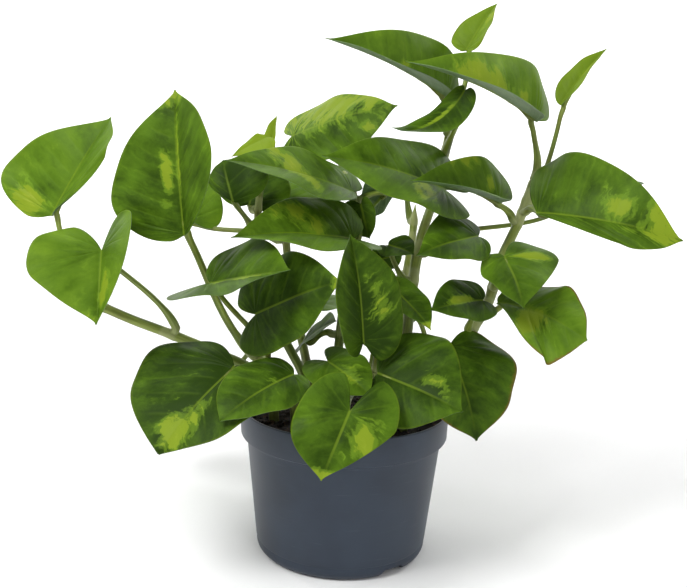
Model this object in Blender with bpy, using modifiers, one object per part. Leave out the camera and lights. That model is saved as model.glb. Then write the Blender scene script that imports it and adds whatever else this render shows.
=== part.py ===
"""Potted pothos, built from the pieces it really has: pot, soil, eleven stems and forty-five leaves.

The tables are in millimetres, and MM turns them into Blender's metres. The origin is the centre of
the pot's underside, +Z is up and -Y is the front. A leaf is one piece from its petiole's foot on the
stem to its tip. A stem stands in a socket in the soil, and every piece rests a GAP off its neighbour.
"""
import math
from dataclasses import dataclass, field

import bmesh
import bpy
import numpy as np

OBJECT_NAME = "potted_pothos"
MM = 0.001
GAP = 0.3                 # clearance between a piece and the one that carries it
MERGE = 0.01 * MM         # vertices closer than this are one

# Pot: a thin moulded shell with a collar. It stands on a skirt with three gaps and on a centre foot,
# and drains through holes in its raised floor.
POT_HEIGHT = 86.0
RIM_RADIUS = 60.0
COLLAR_FOOT = 70.0        # height at which the collar ends and the wall steps in
COLLAR_STEP = 4.0
COLLAR_LEDGE = 2.0        # height that the step takes
BASE_RADIUS = 49.5        # wall radius just above the bottom corner
BASE_CORNER = 5.5
WALL = 1.5
FLOOR = (5.0, 6.5)        # heights of the floor's underside and top
FOOT_RADIUS = 10.0
RIM_ROUND = 0.5
POT_STEPS = 36
GAP_COUNT = 3
GAP_WIDTH = 19.0
GAP_HEIGHT = 4.7
GAP_BEARING = -52.0       # degrees from +X to the first gap in the skirt
GAP_REACH = (38.0, 58.0)  # radii between which a gap's cutter lies
GAP_SIDES = 6
DRAIN_COUNT = 6
DRAIN_RADIUS = 4.0
DRAIN_CIRCLE = 30.0       # radius of the circle that the drain holes stand on
DRAIN_SIDES = 10

# Soil: fills the pot to below the rim, slightly mounded.
SOIL_EDGE = 76.0
SOIL_CROWN = 79.5
SOIL_RINGS = 3
SOCKET_FOOT = 64.0
SOCKET_SIDES = 8
SOCKET_CLEARANCE = 0.6    # on the socket's corners; its flats come nearer

# Stems and leaves.
STEM_POINTS = 3           # curve points for each of a stem's own points
SOIL_EXIT = 80.0          # height up to which a stem stands straight
LEAN_HEIGHT = 89.0        # height at which a stem has begun to lean
LEAN = 0.15               # share of the way to its path that it leans by then
BLADE_THICKNESS = 0.8
BLADE_ACROSS = 6
BLADE_ALONG = 7
BASE_ROWS = 0.4           # share of a blade's rows that run to its lobes
TIP_WIDTH = 0.03          # share of the width that is left at the tip
WEDGE = 8                 # how strongly a negative lobe tapers the base
LOBE_FULL = (0.1, 1.0)    # least and greatest share of the shoulder that a lobe has
LOBE_START = 0.3          # that share where there is no lobe
LOBE_GAIN = 5             # and how it grows with the lobe
DRIP_ORDER = 8            # how late the margin turns in to the drawn out tip
ROW_SPREAD = 0.06         # how far the rows of the lobes stand apart on the midrib
ROW_RISE = 0.65           # how far forward a row runs, for its distance out
ROW_BEND = 1.2            # how late a row turns forward on its way out
NOTCH_ROWS = 3            # the lobes' inner edge shapes the rows up to one in this many
NOTCH_BEND = 1.7          # how soon that edge turns back on its way out
PETIOLE_RADIUS = 1.5
PETIOLE_POINTS = 5
PETIOLE_FOOT = 2.5        # straight first stretch off the stem
PETIOLE_SOCKET = 0.04     # how far into the blade the petiole runs, as a share of its length
PETIOLE_TAPER = (1.15, 0.8)   # its radius at the foot and at the blade, as shares
LEAVE = (0.8, 0.6)        # how a petiole leaves its stem: shares outward and along the stem
ARRIVE = (0.6, 0.3, 0.36)     # how it arrives: shares back to the stem, along the blade and under it
KNOTS = (0.35, 0.3)       # how far its curve's two middle knots stand off, as shares of its reach


@dataclass
class Leaf:
    """One leaf. Pairs give the left half and then the right half, seen from above with the tip away."""
    drop: float           # distance from the stem's end, along the stem, to the petiole's foot
    base: tuple           # where the petiole meets the blade
    tip: tuple
    face: tuple           # direction that the upper side looks in
    width: float
    arch: float = 25      # degrees that the midrib bends down from base to tip
    fold: tuple = (14, 14)    # degrees that a half rises from the midrib
    cup: tuple = (-18, -18)   # degrees that a half curls by its margin
    lobe: tuple = (0.16, 0.16)  # how far a half's lobe reaches behind the base
    widest: tuple = (0.3, 0.3)  # where a half is widest, from base 0 to tip 1
    taper: tuple = (2.2, 2.2)   # how full a half's margin stays on its way to the tip
    twist: float = 0      # degrees that the blade turns about its midrib from base to tip
    skew: float = 0       # how much wider the right half is than the left
    drip: float = 0.4     # how drawn out the tip is
    shoulder: float = 0.4     # how far out a lobe reaches furthest back, as a share of the half width
    bow: tuple = (0, 0, 0)    # sideways pull on the petiole's middle


@dataclass
class Stem:
    """One stem with its leaves. It rises straight out of the soil at its root, and then along its path."""
    name: str
    root: tuple
    radius: tuple         # at the foot and at the end
    path: list
    leaves: list = field(default_factory=list)


STEMS = [
    Stem("a", (-40, -10), (3.0, 2.6), [(-51, -10, 106), (-74, -14, 118), (-98, -16, 128),
        (-118, -16, 135), (-136, -15, 142)], [
        Leaf(42, (-132, -30, 176), (-127, -62, 142), (33, -72, 66), 76, arch=24, fold=(75, -4),
             cup=(0, -8), lobe=(0.14, 0.42), widest=(0.2, 0.2), taper=(2.2, 1.9), drip=0.8),
        Leaf(0, (-164, -10, 191), (-133, 2, 246), (-2, -8, 3), 71, arch=18, fold=(0, 44),
             cup=(-6, -10), lobe=(0.12, -0.24), widest=(0.16, 0.65), taper=(1.6, 2.2), skew=-0.24),
    ]),
    Stem("b", (-40, 6), (3.0, 3.0), [(-47, 8, 104), (-53, 4, 112)], [
        Leaf(4, (-73, -39, 162), (-29, -64, 175), (0, -6, 8), 52, arch=5, fold=(18, 33),
             lobe=(0.1, 0.4)),
        Leaf(0, (-86.5, -40, 187), (-93, -30, 262), (-24, -89, 10), 72, arch=20, fold=(2, 42),
             cup=(-10, -14), lobe=(0.04, -0.08), widest=(0.28, 0.5), taper=(1.9, 2.6), skew=-0.12),
    ]),
    Stem("c", (-20, -10), (2.8, 2.0), [(-24, -12, 106), (-35, -5, 124), (-50, 10, 150),
        (-55, 22, 171), (-55, 32, 196), (-53, 32, 217)], [
        Leaf(90, (-50, -30, 144), (-3, -55, 169), (1, -8, 6), 56, arch=22, fold=(10, 12),
             lobe=(0.22, 0.22)),
        Leaf(36, (-67, 8, 200), (-75, 22, 223), (-3, -8, 6), 36, lobe=(-0.25, 0.1),
             widest=(0.55, 0.3), skew=0.4),
        Leaf(23, (-61, 38, 196), (-56, 62, 221), (1, -8, 6), 46, lobe=(0.1, 0.1)),
        Leaf(9, (-49, 8, 237), (-67, -8, 226), (-3, -8, 6), 17, arch=15, lobe=(0.05, 0.02),
             widest=(0.3, 0.1), taper=(2.2, 1.2), skew=-0.4),
        Leaf(0, (-48, 26, 229), (-45, 30, 249), (-6, -8, 1), 10, arch=15, fold=(40, 40),
             lobe=(0.05, 0.05)),
    ]),
    Stem("d", (-6, 4), (3.0, 2.2), [(-6, 5, 99), (-4, 12, 127), (-2, 15, 156), (1, 18, 185),
        (0, 22, 208), (-8, 30, 225)], [
        Leaf(105, (-25, 18, 118), (-6, 2, 135), (0, -4, 9), 34, fold=(12, 12), lobe=(0.2, 0.2)),
        Leaf(79, (15, 14, 168), (31, 22, 172), (1, -6, 6), 18, arch=20, lobe=(0.1, 0.1)),
        Leaf(53, (2, -9, 184), (-63, -45, 187), (0, -5, 9), 60, arch=22, fold=(26, 24),
             lobe=(0.12, 0.12), widest=(0.3, 0.2), taper=(2.2, 1.5)),
        Leaf(50, (5, 14, 201), (11, 12, 181), (-3, -8, 2), 22, arch=20, skew=0.3),
        Leaf(26, (21, 34, 208), (7, 26, 190), (-3, 6, 4), 27, arch=20, skew=-0.2),
        Leaf(13, (0, 5, 208), (-68, -35, 226), (0, -4, 9), 54, arch=22, fold=(12, 22),
             lobe=(-0.04, 0.12), widest=(0.35, 0.2), taper=(2.4, 1.6), skew=-0.04),
        Leaf(0, (-37, 46, 237), (25, 18, 257), (-1, -6, 8), 50, arch=20, fold=(8, -20),
             lobe=(0.12, 0.12), widest=(0.25, 0.3), taper=(1.9, 3.4)),
    ]),
    Stem("e", (28, 5), (3.6, 2.4), [(31, 5, 95), (34, 5, 124), (36, 5, 154), (40, 12, 182),
        (49, 30, 209), (56, 32, 247)], [
        Leaf(97, (21, 0, 180), (35, -14, 177), (1, -6, 6), 21, arch=20, lobe=(0.08, 0.12)),
        Leaf(81, (69, -16, 188.5), (33, -45, 181), (1, -6, 8), 46, fold=(22, 4), lobe=(-0.1, 0.2),
             widest=(0.4, 0.05), taper=(2.2, 1.5), skew=0.06),
        Leaf(44, (50, 0, 212), (-18, -35, 230), (0, -6, 7), 60, lobe=(0.2, 0.34),
             widest=(0.3, 0.02), taper=(3.0, 1.6), skew=0.08),
        Leaf(16, (56, -23, 265), (17, -52, 246.5), (-5, -6, 5), 24, arch=-80,
             lobe=(0.05, 0.05), skew=-0.25),
        Leaf(5, (62, 30, 289), (80, 40, 317), (-7, -7, 0), 25, arch=20, fold=(28, 30),
             lobe=(0.05, 0.05), widest=(0.15, 0.25), taper=(1.4, 1.5), bow=(6, 8, 0)),
        Leaf(0, (52, 22, 262), (-19, -18, 290), (1, -8, 3), 55, arch=40, fold=(76, 0),
             lobe=(-0.15, 0.14), widest=(0.4, 0.12), taper=(2.2, 1.5), skew=0.12),
    ]),
    Stem("f", (44, 4), (3.4, 2.6), [(55, 5, 98), (66, 0, 124), (78, -5, 149), (84, 0, 172),
        (95, 10, 195), (103, 16, 218)], [
        Leaf(94, (73, -20, 154), (42, -42, 152), (1, -6, 7), 30, fold=(14, 18), lobe=(0.12, 0.12)),
        Leaf(80, (82, -15, 152), (126, -45, 139), (2, -7, 7), 54, arch=50, fold=(6, 8),
             lobe=(0.05, -0.34), widest=(0.45, 0.78), taper=(2.6, 3.0), skew=0.04),
        Leaf(67, (81, -33, 181), (88, -60, 158), (3, -6, 7), 50, fold=(10, -4), lobe=(0.4, 0.06),
             widest=(0.02, 0.3), taper=(1.15, 2.0), skew=-0.33),
        Leaf(27, (82, 0, 206), (29, -25, 218), (0, -8, 4), 46, arch=40, fold=(76, 0),
             lobe=(-0.1, 0.3), widest=(0.35, 0.14), taper=(2.2, 1.6), skew=0.1),
        Leaf(20, (100, -15, 202), (171, -45, 193), (0, -8, 5), 57, arch=40, fold=(14, 26),
             lobe=(0.18, -0.15), widest=(0.05, 0.62), taper=(1.7, 2.8), twist=-25, skew=-0.5,
             shoulder=0.7),
        Leaf(13, (118, 29, 260), (145, 39, 294), (-8, -6, 1), 18, fold=(35, 40), lobe=(0, 0),
             widest=(0.35, 0.35), taper=(1.5, 1.8)),
        Leaf(0, (102, 15, 251), (23, -30, 279), (1, -8, 3), 58, arch=46, fold=(76, 0),
             lobe=(-0.18, 0.24), widest=(0.4, 0.06), taper=(2.0, 1.5), skew=0.12),
    ]),
    Stem("g", (11, -13), (2.8, 2.6), [(13, -16, 96), (16, -20, 112)], [
        Leaf(8, (2, -86, 110), (-11, -96, 77), (1, -8, 6), 50, arch=20, fold=(6, 8),
             lobe=(0.56, 0.45), widest=(0.02, 0.3), taper=(1.2, 2.5), bow=(-6, 0, 0)),
        Leaf(3, (22, -18, 160), (44, -42, 141), (3, -6, 7), 24, arch=22, fold=(20, 20),
             lobe=(0.12, 0.12)),
        Leaf(2, (-10, -47, 124), (13, -65, 111), (1, -6, 8), 34, fold=(12, 12), lobe=(0.25, 0.25),
             skew=0.1),
        Leaf(0, (8, -58, 138), (-1, -45, 192), (4, -9, 2), 50, arch=28, fold=(46, 6),
             lobe=(0.1, 0.2)),
    ]),
    Stem("h", (33, -19), (2.8, 2.6), [(36, -20, 97), (38, -24, 114)], [
        Leaf(4, (16, -51, 120), (59, -76, 108), (1, -8, 6), 61, fold=(4, 4), lobe=(0.12, 0),
             skew=-0.16),
        Leaf(2, (56, -20, 128), (71, -44, 81), (4, -7, 5), 72, arch=30, fold=(12, 12),
             lobe=(0.12, 0.12)),
    ]),
    Stem("i", (-27, -26), (2.8, 2.6), [(-30, -30, 100), (-36, -34, 110)], [
        Leaf(6, (-27, -57, 119), (-62, -83, 101), (-2, -6, 8), 41, arch=34, fold=(16, 14),
             lobe=(0.05, 0.05), taper=(2.2, 3.8), drip=0.1),
        Leaf(1, (-59, -45, 119), (-93, -80, 81), (-3, -8, 7), 79, arch=30, fold=(14, 0),
             cup=(-18, -6), lobe=(0.14, 0.14), taper=(2.0, 3.0), drip=0, skew=0.16),
    ]),
    Stem("j", (-20, 33), (3.0, 2.2), [(-29, 40, 120), (-36, 44, 150), (-40, 46, 180), (-44, 50, 204)], [
        Leaf(85, (-83, 55, 78), (-126, 95, 40), (-4, 4, 7), 56, arch=30),
        Leaf(61, (-27, 60, 131), (-43, 115, 123), (0, 4, 8), 54, arch=35),
        Leaf(30, (-98, 50, 183), (-131, 90, 214), (-4, 4, 6), 52, arch=30),
        Leaf(6, (-41, 60, 194), (-54, 120, 215), (0, 3, 8), 54, arch=35),
    ]),
    Stem("k", (22, 33), (3.0, 2.2), [(29, 40, 122), (34, 42, 153), (37, 42, 177), (38, 40, 199)], [
        Leaf(68, (61, 60, 89), (101, 105, 66), (4, 4, 7), 56, arch=30),
        Leaf(45, (24, 60, 123), (37, 112, 126), (1, 4, 8), 50, arch=35),
        Leaf(23, (124, 25, 203), (182, 75, 210), (2, 3, 8), 54, arch=30),
        Leaf(11, (32, 55, 209), (59, 115, 216), (1, 3, 8), 54, arch=35),
    ]),
]


def unit(vector):
    return vector / np.linalg.norm(vector)


def across(vector, axis):
    """The part of a vector that is square to an axis, as a unit vector."""
    return unit(vector - (vector @ axis) * axis)


# ---------------------------------------------------------------- scene and materials

def clear_scene():
    for item in list(bpy.data.objects):
        bpy.data.objects.remove(item, do_unlink=True)


def new_collection(name):
    group = bpy.data.collections.new(name)
    bpy.context.scene.collection.children.link(group)
    return group


def new_material(name, colour, roughness):
    material = bpy.data.materials.new(name)
    material.use_nodes = True
    shader = material.node_tree.nodes["Principled BSDF"]
    shader.inputs["Base Color"].default_value = (*colour, 1.0)
    shader.inputs["Roughness"].default_value = roughness
    shader.inputs["Metallic"].default_value = 0.0
    return material


def place(data, name, group, origin, material=None, guide=False):
    """An object of a mesh or curve whose points are in metres from origin, a point in millimetres."""
    item = bpy.data.objects.new(name, data)
    item.location = [value * MM for value in origin]
    group.objects.link(item)
    if material:
        data.materials.append(material)
    if guide:
        item.hide_render = True
        item.display_type = "WIRE"
    return item


def add_boolean(item, operation, other):
    modifier = item.modifiers.new(operation.lower(), "BOOLEAN")
    modifier.operation = operation
    modifier.solver = "EXACT"
    modifier.object = other


# ---------------------------------------------------------------- turned pieces

def turned_mesh(name, outline):
    """A mesh of the outline's edges in the XZ plane, for a Screw modifier to turn."""
    mesh = bpy.data.meshes.new(name)
    points = [(radius * MM, 0.0, height * MM) for radius, height in outline]
    edges = [(index, index + 1) for index in range(len(points) - 1)]
    mesh.from_pydata(points, edges, [])
    return mesh


def add_screw(item):
    screw = item.modifiers.new("turn", "SCREW")
    screw.axis = "Z"
    screw.steps = POT_STEPS
    screw.render_steps = POT_STEPS
    screw.use_merge_vertices = True
    screw.merge_threshold = MERGE


def corner_arc(radius, size, count=3):
    """The round bottom corner of a wall, from the wall down to the underside at height 0."""
    angles = [math.radians(90.0 * step / count) for step in range(count + 1)]
    return [(radius - size * (1 - math.cos(angle)), size * (1 - math.sin(angle))) for angle in angles]


def pot_outline():
    outer_wall = RIM_RADIUS - COLLAR_STEP
    inner_base = BASE_RADIUS - WALL
    underside, floor = FLOOR
    inside = [
        (0.0, floor),
        (inner_base - WALL, floor),
        (inner_base, floor + WALL),
        (outer_wall - WALL, COLLAR_FOOT - COLLAR_LEDGE),
        (RIM_RADIUS - WALL, COLLAR_FOOT + COLLAR_LEDGE),
        (RIM_RADIUS - WALL, POT_HEIGHT - RIM_ROUND),
        (RIM_RADIUS - WALL + RIM_ROUND, POT_HEIGHT),
    ]
    outside = [
        (RIM_RADIUS - RIM_ROUND, POT_HEIGHT),
        (RIM_RADIUS, POT_HEIGHT - RIM_ROUND),
        (RIM_RADIUS - RIM_ROUND, COLLAR_FOOT),
        (outer_wall, COLLAR_FOOT - COLLAR_LEDGE),
    ]
    skirt = BASE_RADIUS - BASE_CORNER - WALL
    below = [
        (skirt, 0.0),
        (skirt, underside),
        (FOOT_RADIUS, underside),
        (FOOT_RADIUS, 0.0),
        (0.0, 0.0),
    ]
    return inside + outside + corner_arc(BASE_RADIUS, BASE_CORNER) + below


def soil_outline():
    """The soil's top from its crown to the collar, and then down the inside of the pot."""
    edge = RIM_RADIUS - WALL - GAP
    outer_wall = RIM_RADIUS - COLLAR_STEP
    inner_base = BASE_RADIUS - WALL - GAP
    floor = FLOOR[1] + GAP
    top = []
    for step in range(SOIL_RINGS + 1):
        share = step / SOIL_RINGS
        height = SOIL_EDGE + (SOIL_CROWN - SOIL_EDGE) * math.cos(math.pi / 2 * share)
        top.append((edge * share, height))
    side = [
        (edge, COLLAR_FOOT + COLLAR_LEDGE + GAP),
        (outer_wall - WALL - GAP, COLLAR_FOOT - COLLAR_LEDGE + GAP),
        (inner_base, floor + WALL),
        (inner_base - WALL, floor),
        (0.0, floor),
    ]
    return top + side


def merged_cylinders(name, rods):
    """One mesh of separate closed rods, each given as start, end, two radii across it and its sides.

    A rod has a corner on each side and, with six sides, a flat on top.
    """
    builder = bmesh.new()
    for start, end, wide, tall, sides in rods:
        start = np.array(start, float)
        end = np.array(end, float)
        axis = unit(end - start)
        up = across(np.array((0.0, 0.0, 1.0)), axis) if abs(axis[2]) < 0.9 else np.array((0.0, 1.0, 0.0))
        side = np.cross(axis, up)
        made = bmesh.ops.create_cone(
            builder, cap_ends=True, segments=sides, radius1=1.0, radius2=1.0,
            depth=float(np.linalg.norm(end - start)))
        middle = (start + end) / 2
        for vertex in made["verts"]:
            x, y, z = vertex.co
            vertex.co = (middle + side * y * wide + up * x * tall + axis * z) * MM
    mesh = bpy.data.meshes.new(name)
    builder.to_mesh(mesh)
    builder.free()
    return mesh


def make_pot(group, guides, material):
    pot = place(turned_mesh("pot", pot_outline()), "pot", group, (0, 0, 0), material)
    add_screw(pot)
    rods = []
    for index in range(GAP_COUNT):
        angle = math.radians(GAP_BEARING + 360.0 * index / GAP_COUNT)
        near, far = [(reach * math.cos(angle), reach * math.sin(angle), 0.0) for reach in GAP_REACH]
        flat_top = GAP_HEIGHT / math.cos(math.pi / GAP_SIDES)
        rods.append((near, far, GAP_WIDTH / 2, flat_top, GAP_SIDES))
    for index in range(DRAIN_COUNT):
        angle = 2 * math.pi * index / DRAIN_COUNT
        x = DRAIN_CIRCLE * math.cos(angle)
        y = DRAIN_CIRCLE * math.sin(angle)
        underside, floor = FLOOR
        rods.append(((x, y, underside - GAP), (x, y, floor + GAP), DRAIN_RADIUS, DRAIN_RADIUS, DRAIN_SIDES))
    holes = place(merged_cylinders("pot_holes", rods), "pot_holes", guides, (0, 0, 0), guide=True)
    add_boolean(pot, "DIFFERENCE", holes)


def make_soil(group, guides, material):
    soil = place(turned_mesh("soil", soil_outline()), "soil", group, (0, 0, 0), material)
    add_screw(soil)
    rods = []
    for stem in STEMS:
        x, y = stem.root
        radius = stem.radius[0] + SOCKET_CLEARANCE
        rods.append(((x, y, SOCKET_FOOT), (x, y, POT_HEIGHT), radius, radius, SOCKET_SIDES))
    sockets = place(merged_cylinders("sockets", rods), "sockets", guides, (0, 0, 0), guide=True)
    add_boolean(soil, "DIFFERENCE", sockets)


# ---------------------------------------------------------------- stems

def smooth_line(points, count):
    """A Catmull-Rom line through the points, with count steps between each two."""
    knots = [np.array(point, float) for point in points]
    knots = [2 * knots[0] - knots[1]] + knots + [2 * knots[-1] - knots[-2]]
    line = []
    for a, b, c, d in zip(knots, knots[1:], knots[2:], knots[3:]):
        for step in range(count):
            t = step / count
            line.append(0.5 * (2 * b + (c - a) * t + (2 * a - 5 * b + 4 * c - d) * t ** 2
                               + (3 * b - a - 3 * c + d) * t ** 3))
    line.append(knots[-2])
    return line


def lengths_along(line):
    total = 0.0
    sums = [total]
    for a, b in zip(line, line[1:]):
        total += float(np.linalg.norm(b - a))
        sums.append(total)
    return sums


def stem_line(stem):
    """The stem's centre line, from a GAP above its socket's floor to its end."""
    x, y = stem.root
    first_x, first_y, _ = stem.path[0]
    rise = [
        (x, y, SOCKET_FOOT + GAP),
        (x, y, SOIL_EXIT),
        (x + (first_x - x) * LEAN, y + (first_y - y) * LEAN, LEAN_HEIGHT),
    ]
    return smooth_line(rise + stem.path, STEM_POINTS)


def stem_station(stem, drop):
    """The point, direction and radius of a stem at a distance from its end."""
    line = stem_line(stem)
    sums = lengths_along(line)
    wanted = sums[-1] - drop
    index = min(int(np.searchsorted(sums, wanted, side="right")) - 1, len(line) - 2)
    share = (wanted - sums[index]) / (sums[index + 1] - sums[index])
    point = line[index] * (1 - share) + line[index + 1] * share
    foot, end = stem.radius
    return point, unit(line[index + 1] - line[index]), foot + (end - foot) * wanted / sums[-1]


def tube_curve(name, line, radii, resolution):
    """A round tube along a line of points in millimetres, given from the line's first point."""
    curve = bpy.data.curves.new(name, "CURVE")
    curve.dimensions = "3D"
    curve.bevel_depth = MM
    curve.bevel_resolution = resolution
    curve.use_fill_caps = True
    spline = curve.splines.new("POLY")
    spline.points.add(len(line) - 1)
    for point, position, radius in zip(spline.points, line, radii):
        point.co = (*((position - line[0]) * MM), 1.0)
        point.radius = radius
    return curve


def make_stem(stem, group, material):
    line = stem_line(stem)
    sums = lengths_along(line)
    foot, end = stem.radius
    radii = [foot + (end - foot) * length / sums[-1] for length in sums]
    name = "vine_" + stem.name
    place(tube_curve(name, line, radii, 2), name, group, line[0], material)


# ---------------------------------------------------------------- leaves

def margin_place(leaf, side, t):
    """A row's end on the margin: its shares of the half width, out, and of the blade's length, along."""
    lobe, widest = leaf.lobe[side], leaf.widest[side]
    if t < BASE_ROWS:
        angle = math.pi / 2 * t / BASE_ROWS
        least, greatest = LOBE_FULL
        shoulder = leaf.shoulder * min(max(LOBE_START + LOBE_GAIN * lobe, least), greatest)
        wedge = 1 + max(-WEDGE * lobe, 0.0)
        out = shoulder + (1 - shoulder) * math.sin(angle) ** wedge
        return out, widest - (widest + max(lobe, 0.0)) * math.cos(angle)
    v = (t - BASE_ROWS) / (1 - BASE_ROWS)
    out = (1 - v ** leaf.taper[side]) * (1 - leaf.drip * v ** DRIP_ORDER)
    return max(out, TIP_WIDTH), widest + (1 - widest) * v


def row_place(leaf, s, t, slimness):
    """A point of a row that leaves the midrib and runs out and forward to the margin, as such shares."""
    margins = [margin_place(leaf, side, t) for side in (0, 1)]
    mean_out = (margins[0][0] + margins[1][0]) / 2
    mean_along = (margins[0][1] + margins[1][1]) / 2
    root = max(ROW_SPREAD * t, mean_along - ROW_RISE * mean_out * slimness)
    out, along = margins[1 if s >= 0 else 0]
    notch = max(0.0, 1 - NOTCH_ROWS * t) ** 2
    reach = (1 - notch) * abs(s) ** ROW_BEND + notch * (1 - (1 - abs(s)) ** NOTCH_BEND)
    return abs(s) * out, root + (along - root) * reach


def blade_axes(leaf):
    base = np.array(leaf.base, float)
    chord = np.array(leaf.tip, float) - base
    axis = unit(chord)
    normal = across(np.array(leaf.face, float), axis)
    return base, float(np.linalg.norm(chord)), axis, normal, np.cross(axis, normal)


def blade_point(leaf, s, t):
    """A point of the blade's upper side. s runs -1 to 1 along a row and t runs 0 to 1 over the rows."""
    _, chord, _, _, _ = blade_axes(leaf)
    out, along = row_place(leaf, s, t, leaf.width / 2 / chord)
    return surface_point(leaf, 1 if s >= 0 else 0, out, along)


def surface_point(leaf, side, share_out, share_along):
    """The point of the upper side at shares of a half's width and of the blade's length."""
    base, chord, axis, normal, sideways = blade_axes(leaf)
    half_arch = math.radians(leaf.arch) / 2
    length = chord * half_arch / math.sin(half_arch)
    bend = 2 * half_arch / length
    full = leaf.width / 2 * (1 + leaf.skew * (1 if side else -1))
    out = share_out * full
    run = length * share_along
    u = math.sin(bend * run) / bend
    v = (math.cos(bend * run) - 1) / bend
    along = u * math.cos(half_arch) - v * math.sin(half_arch)
    lift = u * math.sin(half_arch) + v * math.cos(half_arch)
    angle = half_arch - bend * run
    upright = normal * math.cos(angle) - axis * math.sin(angle)
    fold = math.radians(leaf.fold[side])
    curl = math.radians(leaf.cup[side]) / full
    if abs(curl) < 1e-6:
        curl = 1e-6
    lateral = (math.sin(fold + curl * out) - math.sin(fold)) / curl
    height = (math.cos(fold) - math.cos(fold + curl * out)) / curl
    if side == 0:
        lateral = -lateral
    turn = math.radians(leaf.twist) * (share_along - 0.5)
    turned_side = sideways * math.cos(turn) + upright * math.sin(turn)
    turned_up = upright * math.cos(turn) - sideways * math.sin(turn)
    return base + axis * along + normal * lift + turned_side * lateral + turned_up * height


def petiole_line(leaf, stem):
    """The petiole's centre line: off the stem, up, and into the underside of the blade's base."""
    point, direction, radius = stem_station(stem, leaf.drop)
    _, _, axis, normal, _ = blade_axes(leaf)
    half_arch = math.radians(leaf.arch) / 2
    base_axis = axis * math.cos(half_arch) + normal * math.sin(half_arch)
    base_normal = normal * math.cos(half_arch) - axis * math.sin(half_arch)
    end = surface_point(leaf, 1, 0, PETIOLE_SOCKET) - base_normal * (BLADE_THICKNESS / 4)
    bow = np.array(leaf.bow, float)
    if leaf.drop == 0:
        outward = direction
        foot = point + direction * GAP
        leave = direction
    else:
        outward = across(end - point, direction)
        foot = point + outward * (radius + GAP)
        leave = unit(outward * LEAVE[0] + direction * LEAVE[1])
    start = foot + outward * PETIOLE_FOOT
    line = [foot]
    reach = float(np.linalg.norm(end - start))
    back, along, under = ARRIVE
    arrive = unit(unit(start - end) * back - base_axis * along - base_normal * under)
    knot_a = start + leave * KNOTS[0] * reach + bow
    knot_b = end + arrive * KNOTS[1] * reach + bow
    for step in range(PETIOLE_POINTS + 1):
        t = step / PETIOLE_POINTS
        line.append((1 - t) ** 3 * start + 3 * (1 - t) ** 2 * t * knot_a
                    + 3 * (1 - t) * t * t * knot_b + t ** 3 * end)
    return line


def petiole_mesh(name, line, guides):
    """The petiole's tube as a closed mesh, so that a Boolean can join it to its blade."""
    thick, thin = PETIOLE_TAPER
    last = len(line) - 1
    radii = [PETIOLE_RADIUS * (thick + (thin - thick) * step / last) for step in range(len(line))]
    curve = place(tube_curve(name + "_curve", line, radii, 1), name + "_curve", guides, line[0])
    bpy.context.view_layer.update()
    evaluated = curve.evaluated_get(bpy.context.evaluated_depsgraph_get())
    mesh = bpy.data.meshes.new_from_object(evaluated)
    mesh.name = name
    builder = bmesh.new()
    builder.from_mesh(mesh)
    bmesh.ops.remove_doubles(builder, verts=builder.verts, dist=MERGE)
    bmesh.ops.recalc_face_normals(builder, faces=builder.faces)
    builder.to_mesh(mesh)
    builder.free()
    joined = place(mesh, name, guides, line[0], guide=True)
    joined.matrix_world = curve.matrix_world.copy()
    bpy.data.objects.remove(curve, do_unlink=True)
    return joined


def make_leaf(name, leaf, stem, group, guides, material):
    builder = bmesh.new()
    bmesh.ops.create_grid(builder, x_segments=BLADE_ACROSS, y_segments=BLADE_ALONG, size=1.0)
    origin = np.array(leaf.base, float)
    for vertex in builder.verts:
        point = blade_point(leaf, round(vertex.co.x, 6), (vertex.co.y + 1) / 2)
        vertex.co = (point - origin) * MM
    mesh = bpy.data.meshes.new(name)
    builder.to_mesh(mesh)
    builder.free()
    blade = place(mesh, name, group, leaf.base, material)
    solidify = blade.modifiers.new("thickness", "SOLIDIFY")
    solidify.thickness = BLADE_THICKNESS * MM
    solidify.offset = -1.0
    add_boolean(blade, "UNION", petiole_mesh(name + "_petiole", petiole_line(leaf, stem), guides))


# ---------------------------------------------------------------- the whole plant

def main():
    clear_scene()
    parts = new_collection(OBJECT_NAME)
    guides = new_collection("cutters")
    pot_plastic = new_material("pot_plastic", (0.055, 0.07, 0.095), 0.45)
    peat = new_material("peat", (0.035, 0.022, 0.014), 0.95)
    vine_skin = new_material("vine_skin", (0.2, 0.28, 0.07), 0.5)
    leaf_skin = new_material("leaf_skin", (0.06, 0.2, 0.035), 0.3)
    make_pot(parts, guides, pot_plastic)
    make_soil(parts, guides, peat)
    for stem in STEMS:
        make_stem(stem, parts, vine_skin)
        for number, leaf in enumerate(stem.leaves, start=1):
            make_leaf(f"leaf_{stem.name}{number}", leaf, stem, parts, guides, leaf_skin)


main()
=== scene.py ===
"""The looks of the potted pothos: leaves, stems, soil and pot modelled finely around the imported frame.

The plant's table repeats the construction's stems and leaves in millimetres, and MM turns them into
metres. Each leaf is a fine blade with its petiole, on the same surface as its solid.
"""
import math
from dataclasses import dataclass, field

import bmesh
import bpy
import numpy as np
from mathutils import Matrix, Vector, noise


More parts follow.
